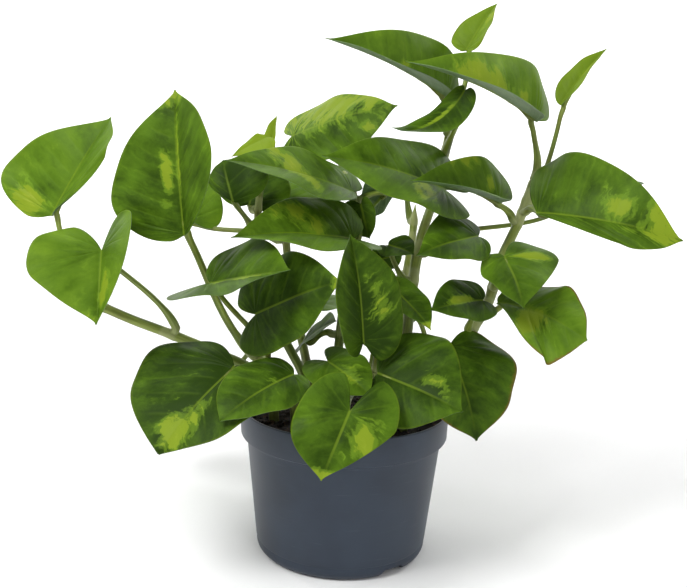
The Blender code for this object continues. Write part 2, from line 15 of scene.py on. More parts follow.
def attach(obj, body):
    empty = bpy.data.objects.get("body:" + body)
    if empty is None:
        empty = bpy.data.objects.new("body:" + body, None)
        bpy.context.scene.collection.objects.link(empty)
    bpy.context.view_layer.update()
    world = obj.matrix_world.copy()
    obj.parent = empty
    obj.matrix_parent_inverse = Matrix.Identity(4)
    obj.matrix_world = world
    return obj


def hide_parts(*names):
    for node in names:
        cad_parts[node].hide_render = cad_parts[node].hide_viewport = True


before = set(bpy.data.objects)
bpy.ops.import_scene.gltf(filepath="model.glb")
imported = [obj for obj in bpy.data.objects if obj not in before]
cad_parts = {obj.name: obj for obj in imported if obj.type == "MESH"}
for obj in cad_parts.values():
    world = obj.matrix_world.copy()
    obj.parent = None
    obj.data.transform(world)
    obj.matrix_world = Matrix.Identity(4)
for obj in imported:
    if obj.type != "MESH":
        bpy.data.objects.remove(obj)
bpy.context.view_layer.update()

MM = 0.001
GAP = 0.3                 # clearance between a piece and the one that carries it

# Camera: a normal lens, a little above the plant and tilted down on it.
LENS = 50.0
SENSOR = 36.0
CAMERA_PLACE = (-0.003, -0.530, 0.255)
CAMERA_PITCH = 11.1       # degrees down
CAMERA_ROLL = 2.0         # degrees that the picture leans

# The paper that the plant stands on and the lights, in metres.
COVE_FRONT = 5.0          # how far the floor reaches in front of the plant
COVE_REACH = 6.0          # and to each side of it
COVE_START = 1.6          # where it begins to curve up, behind the plant
COVE_RADIUS = 1.2
COVE_TOP = 6.0
WORLD_LIGHT = 0.5
LIGHTS = [                # name, place, target, size and watts
    ("key", (-0.5, -0.6, 1.0), (0, 0, 0.18), (0.45, 0.45), 11.0),
    ("fill", (0.9, -0.7, 0.6), (0, 0, 0.12), (0.6, 0.9), 2.5),
    ("paper_left", (-1.8, 1.4, 1.8), (0, 3.4, 1.3), (1.5, 0.8), 62.0),
    ("paper_right", (1.8, 1.4, 1.8), (0, 3.4, 1.3), (1.5, 0.8), 62.0),
]

# Pot.
POT_HEIGHT = 86.0
RIM_RADIUS = 60.0
COLLAR_FOOT = 70.0
COLLAR_STEP = 4.0
COLLAR_LEDGE = 2.0
BASE_RADIUS = 49.5
BASE_CORNER = 5.5
WALL = 1.5
FLOOR = (5.0, 6.5)
FOOT_RADIUS = 10.0
RIM_ROUND = 0.5
GAP_COUNT = 3
GAP_WIDTH = 19.0
GAP_HEIGHT = 4.7
GAP_BEARING = -52.0
GAP_REACH = (38.0, 58.0)
DRAIN_COUNT = 6
DRAIN_RADIUS = 4.0
DRAIN_CIRCLE = 30.0
DRAIN_CUT = 2.2
SEAM_HEIGHT = 8.2
POT_STEPS = 192
POT_SHARP = 34            # degrees from which an edge is shaded sharp

# Soil.
SOIL_EDGE = 76.0
SOIL_CROWN = 79.5
SOIL_FOOT = 6.8
SOIL_RADIUS = RIM_RADIUS - WALL - GAP
SOIL_RINGS = 66
SOIL_STEPS = 220
SOIL_LUMPS = [            # height, how fine, and the noise's dimension, gap and octaves
    (1.3, 0.09, 0.9, 2.0, 3),
    (0.7, 0.4, 0.8, 2.1, 4),
]
SOIL_GRAIN = (0.5, 1.3)   # height, and how fine
STEM_RING = (0.9, 5.0, 2.5)   # of soil round a stem: height, radius and width
MOST_SOIL = 2.4           # how far a lump can rise over the crown
CRUMBS = 420
CRUMB_EDGE = 5.0          # how far from the rim they stay

# Stems and leaves.
SOCKET_FOOT = 64.0
SOIL_EXIT = 80.0
LEAN_HEIGHT = 89.0
LEAN = 0.15
STEM_POINTS = 10          # fine points for each of a stem's own points
STATION_POINTS = 3        # the coarser spacing that the solids are built with
STEM_SIDES = 16
GROWING_TIP = (0.85, 9.0)     # how much a bare end is thinned, and over what length
LEAFY_TIP = (0.25, 2.0)       # the same where a leaf goes on from the end
BLADE_THICKNESS = 0.8     # of the solids, which the petioles' ends are set by
BLADE_ACROSS = 40
BLADE_ALONG = 48
BLADE_CROWD = 1.15        # how much closer a blade's points stand by its margin
PETIOLE_RADIUS = 1.5
PETIOLE_POINTS = 26
PETIOLE_SIDES = 14
PETIOLE_FOOT = 2.5
PETIOLE_SOCKET = 0.04
LEAVE = (0.8, 0.6)        # how a petiole leaves its stem: shares outward and along the stem
ARRIVE = (0.6, 0.3, 0.36)     # how it arrives: shares back to the stem, along the blade and under it
KNOTS = (0.35, 0.3)       # how far its curve's two middle knots stand off, as shares of its reach

# A blade's outline, as its solid has it.
BASE_ROWS = 0.4           # share of a blade's rows that run to its lobes
TIP_WIDTH = 0.012         # share of the width that is left at the tip, finer than the solid's
BLADE_INSET = 0.985       # how much of its solid's width a fine blade takes up
LENGTH_INSET = 0.982      # and how much of its length
WEDGE = 8                 # how strongly a negative lobe tapers the base
LOBE_FULL = (0.1, 1.0)    # least and greatest share of the shoulder that a lobe has
LOBE_START = 0.3          # that share where there is no lobe
LOBE_GAIN = 5             # and how it grows with the lobe
DRIP_ORDER = 8            # how late the margin turns in to the drawn out tip
DRIP_FULL = 0.8           # how drawn out a fine tip is at most
DRIP_GAIN = 1.8           # and how much more than its solid's
ROW_SPREAD = 0.06         # how far the rows of the lobes stand apart on the midrib
ROW_RISE = 0.65           # how far forward a row runs, for its distance out
ROW_BEND = 1.2            # how late a row turns forward on its way out
NOTCH_ROWS = 3            # the lobes' inner edge shapes the rows up to one in this many
NOTCH_BEND = 1.7          # how soon that edge turns back on its way out

# A blade's own relief, in millimetres or as shares of its width, for one of the usual width.
USUAL_WIDTH = 60
MOST_RELIEF = 1.2         # the most that the relief grows on a wider one
VEIN_SPACING = 7.5        # along the midrib, between side veins
LEAST_VEINS = 4
VEIN_STAGGER = 0.13       # how far the two sides' veins are out of step, as a share of the spacing
VEIN_WAVER = 0.12         # how unevenly they are spaced
WAVER_TURN = 9.0          # and how fast that changes along the midrib
QUILT = 0.45              # how high the blade swells between side veins
QUILT_SINK = 0.22         # and how deep it sinks on one
MIDRIB_SINK = 0.3         # how deep the midrib's groove is on top
RIB_DEPTH = 0.9           # how far it stands out below
MARGIN_THICKNESS = 0.24
MIDDLE_THICKNESS = 0.52
WAVE = 0.028              # height of the margin's waves
DENT = 0.014              # and of the dents all over


@dataclass
class Leaf:
    """One leaf. Pairs give the left half and then the right half, seen from above with the tip away."""
    drop: float           # distance from the stem's end, along the stem, to the petiole's foot
    base: tuple           # where the petiole meets the blade
    tip: tuple
    face: tuple           # direction that the upper side looks in
    width: float
    arch: float = 25      # degrees that the midrib bends down from base to tip
    fold: tuple = (14, 14)    # degrees that a half rises from the midrib
    cup: tuple = (-18, -18)   # degrees that a half curls by its margin
    lobe: tuple = (0.16, 0.16)  # how far a half's lobe reaches behind the base
    widest: tuple = (0.3, 0.3)  # where a half is widest, from base 0 to tip 1
    taper: tuple = (2.2, 2.2)   # how full a half's margin stays on its way to the tip
    twist: float = 0      # degrees that the blade turns about its midrib from base to tip
    skew: float = 0       # how much wider the right half is than the left
    drip: float = 0.4     # how drawn out the tip is
    shoulder: float = 0.4     # how far out a lobe reaches furthest back, as a share of the half width
    bow: tuple = (0, 0, 0)    # sideways pull on the petiole's middle


@dataclass
class Stem:
    """One stem with its leaves. It rises straight out of the soil at its root, and then along its path."""
    name: str
    root: tuple
    radius: tuple         # at the foot and at the end
    path: list
    leaves: list = field(default_factory=list)


STEMS = [
    Stem("a", (-40, -10), (3.0, 2.6), [(-51, -10, 106), (-74, -14, 118), (-98, -16, 128),
        (-118, -16, 135), (-136, -15, 142)], [
        Leaf(42, (-132, -30, 176), (-127, -62, 142), (33, -72, 66), 76, arch=24, fold=(75, -4),
             cup=(0, -8), lobe=(0.14, 0.42), widest=(0.2, 0.2), taper=(2.2, 1.9), drip=0.8),
        Leaf(0, (-164, -10, 191), (-133, 2, 246), (-2, -8, 3), 71, arch=18, fold=(0, 44),
             cup=(-6, -10), lobe=(0.12, -0.24), widest=(0.16, 0.65), taper=(1.6, 2.2), skew=-0.24),
    ]),
    Stem("b", (-40, 6), (3.0, 3.0), [(-47, 8, 104), (-53, 4, 112)], [
        Leaf(4, (-73, -39, 162), (-29, -64, 175), (0, -6, 8), 52, arch=5, fold=(18, 33),
             lobe=(0.1, 0.4)),
        Leaf(0, (-86.5, -40, 187), (-93, -30, 262), (-24, -89, 10), 72, arch=20, fold=(2, 42),
             cup=(-10, -14), lobe=(0.04, -0.08), widest=(0.28, 0.5), taper=(1.9, 2.6), skew=-0.12),
    ]),
    Stem("c", (-20, -10), (2.8, 2.0), [(-24, -12, 106), (-35, -5, 124), (-50, 10, 150),
        (-55, 22, 171), (-55, 32, 196), (-53, 32, 217)], [
        Leaf(90, (-50, -30, 144), (-3, -55, 169), (1, -8, 6), 56, arch=22, fold=(10, 12),
             lobe=(0.22, 0.22)),
        Leaf(36, (-67, 8, 200), (-75, 22, 223), (-3, -8, 6), 36, lobe=(-0.25, 0.1),
             widest=(0.55, 0.3), skew=0.4),
        Leaf(23, (-61, 38, 196), (-56, 62, 221), (1, -8, 6), 46, lobe=(0.1, 0.1)),
        Leaf(9, (-49, 8, 237), (-67, -8, 226), (-3, -8, 6), 17, arch=15, lobe=(0.05, 0.02),
             widest=(0.3, 0.1), taper=(2.2, 1.2), skew=-0.4),
        Leaf(0, (-48, 26, 229), (-45, 30, 249), (-6, -8, 1), 10, arch=15, fold=(40, 40),
             lobe=(0.05, 0.05)),
    ]),
    Stem("d", (-6, 4), (3.0, 2.2), [(-6, 5, 99), (-4, 12, 127), (-2, 15, 156), (1, 18, 185),
        (0, 22, 208), (-8, 30, 225)], [
        Leaf(105, (-25, 18, 118), (-6, 2, 135), (0, -4, 9), 34, fold=(12, 12), lobe=(0.2, 0.2)),
        Leaf(79, (15, 14, 168), (31, 22, 172), (1, -6, 6), 18, arch=20, lobe=(0.1, 0.1)),
        Leaf(53, (2, -9, 184), (-63, -45, 187), (0, -5, 9), 60, arch=22, fold=(26, 24),
             lobe=(0.12, 0.12), widest=(0.3, 0.2), taper=(2.2, 1.5)),
        Leaf(50, (5, 14, 201), (11, 12, 181), (-3, -8, 2), 22, arch=20, skew=0.3),
        Leaf(26, (21, 34, 208), (7, 26, 190), (-3, 6, 4), 27, arch=20, skew=-0.2),
        Leaf(13, (0, 5, 208), (-68, -35, 226), (0, -4, 9), 54, arch=22, fold=(12, 22),
             lobe=(-0.04, 0.12), widest=(0.35, 0.2), taper=(2.4, 1.6), skew=-0.04),
        Leaf(0, (-37, 46, 237), (25, 18, 257), (-1, -6, 8), 50, arch=20, fold=(8, -20),
             lobe=(0.12, 0.12), widest=(0.25, 0.3), taper=(1.9, 3.4)),
    ]),
    Stem("e", (28, 5), (3.6, 2.4), [(31, 5, 95), (34, 5, 124), (36, 5, 154), (40, 12, 182),
        (49, 30, 209), (56, 32, 247)], [
        Leaf(97, (21, 0, 180), (35, -14, 177), (1, -6, 6), 21, arch=20, lobe=(0.08, 0.12)),
        Leaf(81, (69, -16, 188.5), (33, -45, 181), (1, -6, 8), 46, fold=(22, 4), lobe=(-0.1, 0.2),
             widest=(0.4, 0.05), taper=(2.2, 1.5), skew=0.06),
        Leaf(44, (50, 0, 212), (-18, -35, 230), (0, -6, 7), 60, lobe=(0.2, 0.34),
             widest=(0.3, 0.02), taper=(3.0, 1.6), skew=0.08),
        Leaf(16, (56, -23, 265), (17, -52, 246.5), (-5, -6, 5), 24, arch=-80,
             lobe=(0.05, 0.05), skew=-0.25),
        Leaf(5, (62, 30, 289), (80, 40, 317), (-7, -7, 0), 25, arch=20, fold=(28, 30),
             lobe=(0.05, 0.05), widest=(0.15, 0.25), taper=(1.4, 1.5), bow=(6, 8, 0)),
        Leaf(0, (52, 22, 262), (-19, -18, 290), (1, -8, 3), 55, arch=40, fold=(76, 0),
             lobe=(-0.15, 0.14), widest=(0.4, 0.12), taper=(2.2, 1.5), skew=0.12),
    ]),
    Stem("f", (44, 4), (3.4, 2.6), [(55, 5, 98), (66, 0, 124), (78, -5, 149), (84, 0, 172),
        (95, 10, 195), (103, 16, 218)], [
        Leaf(94, (73, -20, 154), (42, -42, 152), (1, -6, 7), 30, fold=(14, 18), lobe=(0.12, 0.12)),
        Leaf(80, (82, -15, 152), (126, -45, 139), (2, -7, 7), 54, arch=50, fold=(6, 8),
             lobe=(0.05, -0.34), widest=(0.45, 0.78), taper=(2.6, 3.0), skew=0.04),
        Leaf(67, (81, -33, 181), (88, -60, 158), (3, -6, 7), 50, fold=(10, -4), lobe=(0.4, 0.06),
             widest=(0.02, 0.3), taper=(1.15, 2.0), skew=-0.33),
        Leaf(27, (82, 0, 206), (29, -25, 218), (0, -8, 4), 46, arch=40, fold=(76, 0),
             lobe=(-0.1, 0.3), widest=(0.35, 0.14), taper=(2.2, 1.6), skew=0.1),
        Leaf(20, (100, -15, 202), (171, -45, 193), (0, -8, 5), 57, arch=40, fold=(14, 26),
             lobe=(0.18, -0.15), widest=(0.05, 0.62), taper=(1.7, 2.8), twist=-25, skew=-0.5,
             shoulder=0.7),
        Leaf(13, (118, 29, 260), (145, 39, 294), (-8, -6, 1), 18, fold=(35, 40), lobe=(0, 0),
             widest=(0.35, 0.35), taper=(1.5, 1.8)),
        Leaf(0, (102, 15, 251), (23, -30, 279), (1, -8, 3), 58, arch=46, fold=(76, 0),
             lobe=(-0.18, 0.24), widest=(0.4, 0.06), taper=(2.0, 1.5), skew=0.12),
    ]),
    Stem("g", (11, -13), (2.8, 2.6), [(13, -16, 96), (16, -20, 112)], [
        Leaf(8, (2, -86, 110), (-11, -96, 77), (1, -8, 6), 50, arch=20, fold=(6, 8),
             lobe=(0.56, 0.45), widest=(0.02, 0.3), taper=(1.2, 2.5), bow=(-6, 0, 0)),
        Leaf(3, (22, -18, 160), (44, -42, 141), (3, -6, 7), 24, arch=22, fold=(20, 20),
             lobe=(0.12, 0.12)),
        Leaf(2, (-10, -47, 124), (13, -65, 111), (1, -6, 8), 34, fold=(12, 12), lobe=(0.25, 0.25),
             skew=0.1),
        Leaf(0, (8, -58, 138), (-1, -45, 192), (4, -9, 2), 50, arch=28, fold=(46, 6),
             lobe=(0.1, 0.2)),
    ]),
    Stem("h", (33, -19), (2.8, 2.6), [(36, -20, 97), (38, -24, 114)], [
        Leaf(4, (16, -51, 120), (59, -76, 108), (1, -8, 6), 61, fold=(4, 4), lobe=(0.12, 0),
             skew=-0.16),
        Leaf(2, (56, -20, 128), (71, -44, 81), (4, -7, 5), 72, arch=30, fold=(12, 12),
             lobe=(0.12, 0.12)),
    ]),
    Stem("i", (-27, -26), (2.8, 2.6), [(-30, -30, 100), (-36, -34, 110)], [
        Leaf(6, (-27, -57, 119), (-62, -83, 101), (-2, -6, 8), 41, arch=34, fold=(16, 14),
             lobe=(0.05, 0.05), taper=(2.2, 3.8), drip=0.1),
        Leaf(1, (-59, -45, 119), (-93, -80, 81), (-3, -8, 7), 79, arch=30, fold=(14, 0),
             cup=(-18, -6), lobe=(0.14, 0.14), taper=(2.0, 3.0), drip=0, skew=0.16),
    ]),
    Stem("j", (-20, 33), (3.0, 2.2), [(-29, 40, 120), (-36, 44, 150), (-40, 46, 180), (-44, 50, 204)], [
        Leaf(85, (-83, 55, 78), (-126, 95, 40), (-4, 4, 7), 56, arch=30),
        Leaf(61, (-27, 60, 131), (-43, 115, 123), (0, 4, 8), 54, arch=35),
        Leaf(30, (-98, 50, 183), (-131, 90, 214), (-4, 4, 6), 52, arch=30),
        Leaf(6, (-41, 60, 194), (-54, 120, 215), (0, 3, 8), 54, arch=35),
    ]),
    Stem("k", (22, 33), (3.0, 2.2), [(29, 40, 122), (34, 42, 153), (37, 42, 177), (38, 40, 199)], [
        Leaf(68, (61, 60, 89), (101, 105, 66), (4, 4, 7), 56, arch=30),
        Leaf(45, (24, 60, 123), (37, 112, 126), (1, 4, 8), 50, arch=35),
        Leaf(23, (124, 25, 203), (182, 75, 210), (2, 3, 8), 54, arch=30),
        Leaf(11, (32, 55, 209), (59, 115, 216), (1, 3, 8), 54, arch=35),
    ]),
]


@dataclass
class Look:
    """A leaf's own colouring. A splash is where it is out from the midrib, to the right if positive, and
    along it, then how far it spreads out and along, all as shares of the blade, and how strong it is."""
    tone: float           # 0 dark and old, 1 light
    splashes: list = field(default_factory=list)
    youth: float = 0.0    # 1 is the yellow green of a leaf just opened
    streaks: float = 0.4  # how strongly pale streaks follow the side veins
    rust: float = 0.0     # brown along the margin, which is wavier where it is
    petiole: float = 1.0  # the petiole's thickness, as a share of the usual


LOOKS = {
    "a1": Look(0.6, [(-0.15, 0.65, 0.12, 0.3, 0.7), (0.0, 0.92, 0.4, 0.08, 0.6)]),
    "a2": Look(0.6, [(-0.42, 0.0, 0.26, 0.1, 1.0)]),
    "b1": Look(0.3, [(0.15, 0.45, 0.12, 0.35, 0.8)]),
    "b2": Look(0.3, [(-0.16, 0.42, 0.08, 0.2, 0.75), (0.05, 0.5, 0.05, 0.28, 0.75),
                     (-0.1, 0.93, 0.3, 0.08, 0.85)], petiole=1.35),
    "c1": Look(0.1, [(0.0, 0.95, 0.3, 0.06, 0.8)]),
    "c2": Look(0.1, streaks=0.3),
    "c3": Look(0.1, streaks=0.3),
    "c4": Look(0.9, youth=0.8),
    "c5": Look(0.9, youth=0.9),
    "d1": Look(0.1),
    "d2": Look(0.2),
    "d3": Look(0.45, [(0.2, 0.3, 0.25, 0.08, 0.75), (0.4, 0.45, 0.3, 0.08, 0.78),
                      (0.5, 0.6, 0.25, 0.06, 0.7)]),
    "d4": Look(0.1),
    "d5": Look(0.1),
    "d6": Look(0.4, [(0.15, 0.5, 0.4, 0.07, 0.95), (0.5, 0.6, 0.4, 0.06, 0.9),
                     (-0.35, 0.42, 0.4, 0.06, 0.85)]),
    "d7": Look(0.35, [(-0.6, 0.5, 0.7, 1.2, 0.75), (0.4, 0.75, 0.2, 0.1, 0.7)]),
    "e1": Look(0.1),
    "e2": Look(0.15, streaks=0.6),
    "e3": Look(0.3, [(-0.3, 0.2, 0.4, 0.06, 0.8), (-0.5, 0.3, 0.3, 0.05, 0.75)]),
    "e4": Look(0.15, [(0.1, 0.35, 0.12, 0.2, 0.85)]),
    "e5": Look(0.75, [(0.4, 0.6, 0.2, 0.25, 0.9)], youth=0.35, rust=0.5),
    "e6": Look(0.55, [(0.1, 0.4, 0.1, 0.06, 0.7)]),
    "f1": Look(0.1, [(0.1, 0.45, 0.15, 0.25, 0.95)]),
    "f2": Look(0.65, [(0.3, 0.45, 0.4, 0.14, 0.95)], rust=1.0),
    "f3": Look(0.35, [(-0.5, 0.02, 0.4, 0.08, 0.8)]),
    "f4": Look(0.5, [(0.35, 0.12, 0.2, 0.06, 0.9), (0.85, 0.55, 0.25, 0.3, 0.8)]),
    "f5": Look(0.35, [(-0.2, 0.55, 0.2, 0.12, 0.7), (0.2, 0.65, 0.2, 0.08, 0.6),
                      (0.0, 0.85, 0.6, 0.16, 0.75)]),
    "f6": Look(0.7, [(0.3, 0.5, 0.3, 0.2, 0.8)], youth=0.45, rust=0.5),
    "f7": Look(0.75, [(0.15, 0.5, 0.25, 0.2, 1.1), (0.25, 0.18, 0.08, 0.05, 0.8)]),
    "g1": Look(0.25, [(-0.5, 0.3, 0.34, 0.24, 0.85), (0.0, 0.92, 0.5, 0.1, 0.8)]),
    "g2": Look(0.2, [(0.0, 0.92, 0.5, 0.08, 1.0)]),
    "g3": Look(0.3, [(0.0, 0.45, 0.4, 0.2, 0.5)]),
    "g4": Look(0.05, [(0.42, 0.33, 0.26, 0.18, 0.58)]),
    "h1": Look(0.1, [(-0.18, 0.6, 0.16, 0.15, 0.74)], streaks=0.3),
    "h2": Look(0.2, rust=0.8),
    "i1": Look(0.15, [(0.1, 0.4, 0.1, 0.2, 0.4)]),
    "i2": Look(0.05, [(-0.05, 0.73, 0.24, 0.25, 0.74)]),
    "j1": Look(0.45, [(0.3, 0.4, 0.25, 0.12, 0.9)]),
    "j2": Look(0.5, [(-0.3, 0.5, 0.25, 0.12, 0.9)]),
    "j3": Look(0.6, [(0.1, 0.35, 0.25, 0.14, 0.9)]),
    "j4": Look(0.55, [(-0.2, 0.3, 0.2, 0.15, 1.0)]),
    "k1": Look(0.4, [(0.3, 0.55, 0.25, 0.12, 0.9)]),
    "k2": Look(0.5, [(0.2, 0.35, 0.2, 0.14, 0.9)]),
    "k3": Look(0.6, [(-0.3, 0.4, 0.3, 0.14, 1.0)]),
    "k4": Look(0.5, [(0.25, 0.5, 0.3, 0.1, 0.9)]),
}


def unit(vector):
    return vector / np.linalg.norm(vector)


def across(vector, axis):
    """The part of a vector that is square to an axis, as a unit vector."""
    return unit(vector - (vector @ axis) * axis)


def smoothstep(low, high, value):
    x = np.clip((value - low) / (high - low), 0.0, 1.0)
    return x * x * (3 - 2 * x)


def circle(radius, steps):
    """The x and y of points round a circle."""
    angles = [2 * math.pi * step / steps for step in range(steps)]
    return [(radius * math.cos(angle), radius * math.sin(angle)) for angle in angles]


def arc_angles(degrees, steps):
    """Angles in radians, from 0 to so many degrees."""
    return [math.radians(degrees * step / steps) for step in range(steps + 1)]


def add_object(name, data):
    """An object of the data, in the scene."""
    item = bpy.data.objects.new(name, data)
    bpy.context.scene.collection.objects.link(item)
    return item


def built_object(name, builder):
    """An object of a bmesh, which it uses up."""
    mesh = bpy.data.meshes.new(name)
    builder.to_mesh(mesh)
    builder.free()
    return add_object(name, mesh)


# ---- Stems' lines

def smooth_line(points, count):
    """A Catmull-Rom line through the points, with count steps between each two."""
    knots = [np.array(point, float) for point in points]
    knots = [2 * knots[0] - knots[1]] + knots + [2 * knots[-1] - knots[-2]]
    line = []
    for a, b, c, d in zip(knots, knots[1:], knots[2:], knots[3:]):
        for step in range(count):
            t = step / count
            line.append(0.5 * (2 * b + (c - a) * t + (2 * a - 5 * b + 4 * c - d) * t ** 2
                               + (3 * b - a - 3 * c + d) * t ** 3))
    line.append(knots[-2])
    return np.array(line)


def lengths_along(line):
    steps = np.linalg.norm(np.diff(line, axis=0), axis=1)
    return np.concatenate([[0.0], np.cumsum(steps)])


def stem_line(stem, count):
    """The stem's centre line, from a GAP above its socket's floor to its end."""
    x, y = stem.root
    first_x, first_y, _ = stem.path[0]
    rise = [
        (x, y, SOCKET_FOOT + GAP),
        (x, y, SOIL_EXIT),
        (x + (first_x - x) * LEAN, y + (first_y - y) * LEAN, LEAN_HEIGHT),
    ]
    return smooth_line(rise + stem.path, count)


def stem_station(stem, drop):
    """The point, direction and radius of a stem at a distance from its end."""
    line = stem_line(stem, STATION_POINTS)
    sums = lengths_along(line)
    wanted = sums[-1] - drop
    index = min(int(np.searchsorted(sums, wanted, side="right")) - 1, len(line) - 2)
    share = (wanted - sums[index]) / (sums[index + 1] - sums[index])
    point = line[index] * (1 - share) + line[index + 1] * share
    foot, end = stem.radius
    return point, unit(line[index + 1] - line[index]), foot + (end - foot) * wanted / sums[-1]


# ---- A blade's surface

def margin_places(leaf, side, t):
    """The rows' ends on a half's margin: shares of the half width, out, and of the blade's length, along."""
    lobe, widest = leaf.lobe[side], leaf.widest[side]
    least, greatest = LOBE_FULL
    shoulder = leaf.shoulder * min(max(LOBE_START + LOBE_GAIN * lobe, least), greatest)
    wedge = 1 + max(-WEDGE * lobe, 0.0)
    angle = math.pi / 2 * np.clip(t / BASE_ROWS, 0.0, 1.0)
    base_out = shoulder + (1 - shoulder) * np.sin(angle) ** wedge
    base_along = widest - (widest + max(lobe, 0.0)) * np.cos(angle)
    v = np.clip((t - BASE_ROWS) / (1 - BASE_ROWS), 0.0, 1.0)
    tip_out = (1 - v ** leaf.taper[side]) * (1 - min(DRIP_GAIN * leaf.drip, DRIP_FULL) * v ** DRIP_ORDER)
    near = t < BASE_ROWS
    out = np.where(near, base_out, np.maximum(tip_out, TIP_WIDTH))
    return out, np.where(near, base_along, widest + (1 - widest) * v)


def row_places(leaf, s, t):
    """Points of rows that leave the midrib and run out and forward to the margin, as such shares."""
    _, chord, _, _, _ = blade_axes(leaf)
    left_out, left_along = margin_places(leaf, 0, t)
    right_out, right_along = margin_places(leaf, 1, t)
    rise = ROW_RISE * (left_out + right_out) / 2 * leaf.width / 2 / chord
    root = np.maximum(ROW_SPREAD * t, (left_along + right_along) / 2 - rise)
    out = np.where(s >= 0, right_out, left_out)
    along = np.where(s >= 0, right_along, left_along)
    away = np.abs(s)
    notch = np.maximum(0.0, 1 - NOTCH_ROWS * t) ** 2
    reach = (1 - notch) * away ** ROW_BEND + notch * (1 - (1 - away) ** NOTCH_BEND)
    return away * out * BLADE_INSET, (root + (along - root) * reach) * LENGTH_INSET


def blade_axes(leaf):
    base = np.array(leaf.base, float)
    chord = np.array(leaf.tip, float) - base
    axis = unit(chord)
    normal = across(np.array(leaf.face, float), axis)
    return base, float(np.linalg.norm(chord)), axis, normal, np.cross(axis, normal)


def blade_length(leaf):
    _, chord, _, _, _ = blade_axes(leaf)
    half_arch = math.radians(leaf.arch) / 2
    return chord * half_arch / math.sin(half_arch)


def by_side(pair, right):
    return np.where(right, pair[1], pair[0])


def full_width(leaf, right):
    return leaf.width / 2 * (1 + leaf.skew * np.where(right, 1, -1))


def surface_points(leaf, right, share_out, share_along, rise=0.0):
    """Points of the upper side at shares of a half's width and of the blade's length, lifted by rise,
    and the blade's own upward direction at each."""
    base, _, axis, normal, sideways = blade_axes(leaf)
    half_arch = math.radians(leaf.arch) / 2
    length = blade_length(leaf)
    bend = 2 * half_arch / length
    full = full_width(leaf, right)
    out = share_out * full
    run = length * share_along
    u = np.sin(bend * run) / bend
    v = (np.cos(bend * run) - 1) / bend
    along = u * math.cos(half_arch) - v * math.sin(half_arch)
    lift = u * math.sin(half_arch) + v * math.cos(half_arch)
    angle = (half_arch - bend * run)[..., None]
    upright = normal * np.cos(angle) - axis * np.sin(angle)
    fold = np.radians(by_side(leaf.fold, right))
    curl = np.radians(by_side(leaf.cup, right)) / full
    curl = np.where(np.abs(curl) < 1e-6, 1e-6, curl)
    lateral = (np.sin(fold + curl * out) - np.sin(fold)) / curl * np.where(right, 1, -1)
    height = (np.cos(fold) - np.cos(fold + curl * out)) / curl + rise
    turn = (np.radians(leaf.twist) * (share_along - 0.5))[..., None]
    turned_side = sideways * np.cos(turn) + upright * np.sin(turn)
    turned_up = upright * np.cos(turn) - sideways * np.sin(turn)
    points = (base + axis * along[..., None] + normal * lift[..., None]
              + turned_side * lateral[..., None] + turned_up * height[..., None])
    return points, turned_up


def surface_normals(leaf, right, share_out, share_along):
    """The upper side's own normals, where each half is a smooth sheet and the midrib looks straight up."""
    step = 1e-3
    here, upward = surface_points(leaf, right, share_out, share_along)
    over, _ = surface_points(leaf, right, share_out + step, share_along)
    ahead, _ = surface_points(leaf, right, share_out, share_along + step)
    normals = np.cross((over - here) * np.where(right, 1, -1)[..., None], ahead - here)
    normals /= np.linalg.norm(normals, axis=-1, keepdims=True)
    by_midrib = smoothstep(0.06, 0.0, share_out)[..., None]
    blended = normals * (1 - by_midrib) + upward * by_midrib
    return blended / np.linalg.norm(blended, axis=-1, keepdims=True)


def midrib_points(leaf, share_along):
    share_along = np.asarray(share_along, float)
    return surface_points(leaf, np.full(share_along.shape, True), np.zeros_like(share_along), share_along)[0]


def relief_size(leaf):
    return min(leaf.width / USUAL_WIDTH, MOST_RELIEF)


def relief(leaf, s, t, x, share_along, seed, ruffle):
    """How the veins, waves and dents raise and sink the upper side, in millimetres. x is out from the
    midrib in millimetres and t is the row, which the side veins follow. Ruffle deepens the waves."""
    count = max(LEAST_VEINS, round(blade_length(leaf) / VEIN_SPACING))
    place = t * count + VEIN_STAGGER * np.sign(s) + VEIN_WAVER * np.sin(WAVER_TURN * t + seed)
    size = relief_size(leaf)
    away = np.abs(s)
    fade = smoothstep(0.05, 0.3, away) * (1 - smoothstep(0.65, 1.0, away))
    fade = fade * smoothstep(0.1, 0.3, t) * (1 - smoothstep(0.75, 0.97, t))
    quilting = (QUILT * np.abs(np.sin(math.pi * place)) - QUILT_SINK) * size * fade
    midrib = -MIDRIB_SINK * size * np.exp(-(x / 1.3) ** 2) * (1 - smoothstep(0.6, 1.0, share_along))
    phase = seed * 2.4
    swing = np.sin(math.pi * np.clip(t * 1.1, 0, 1)) * smoothstep(0.4, 1.0, away)
    wave = WAVE * leaf.width * swing * np.sin(2 * math.pi * (2.1 * t + 0.31 * (s > 0)) + phase)
    dents = DENT * leaf.width * np.sin(5.2 * share_along + 0.05 * x + phase)
    dents = dents * np.sin(0.09 * x - 2.0 * t + phase) * (1 - smoothstep(0.55, 0.9, t))
    return quilting + midrib + wave * (1 + ruffle) + dents


# ---- Meshes

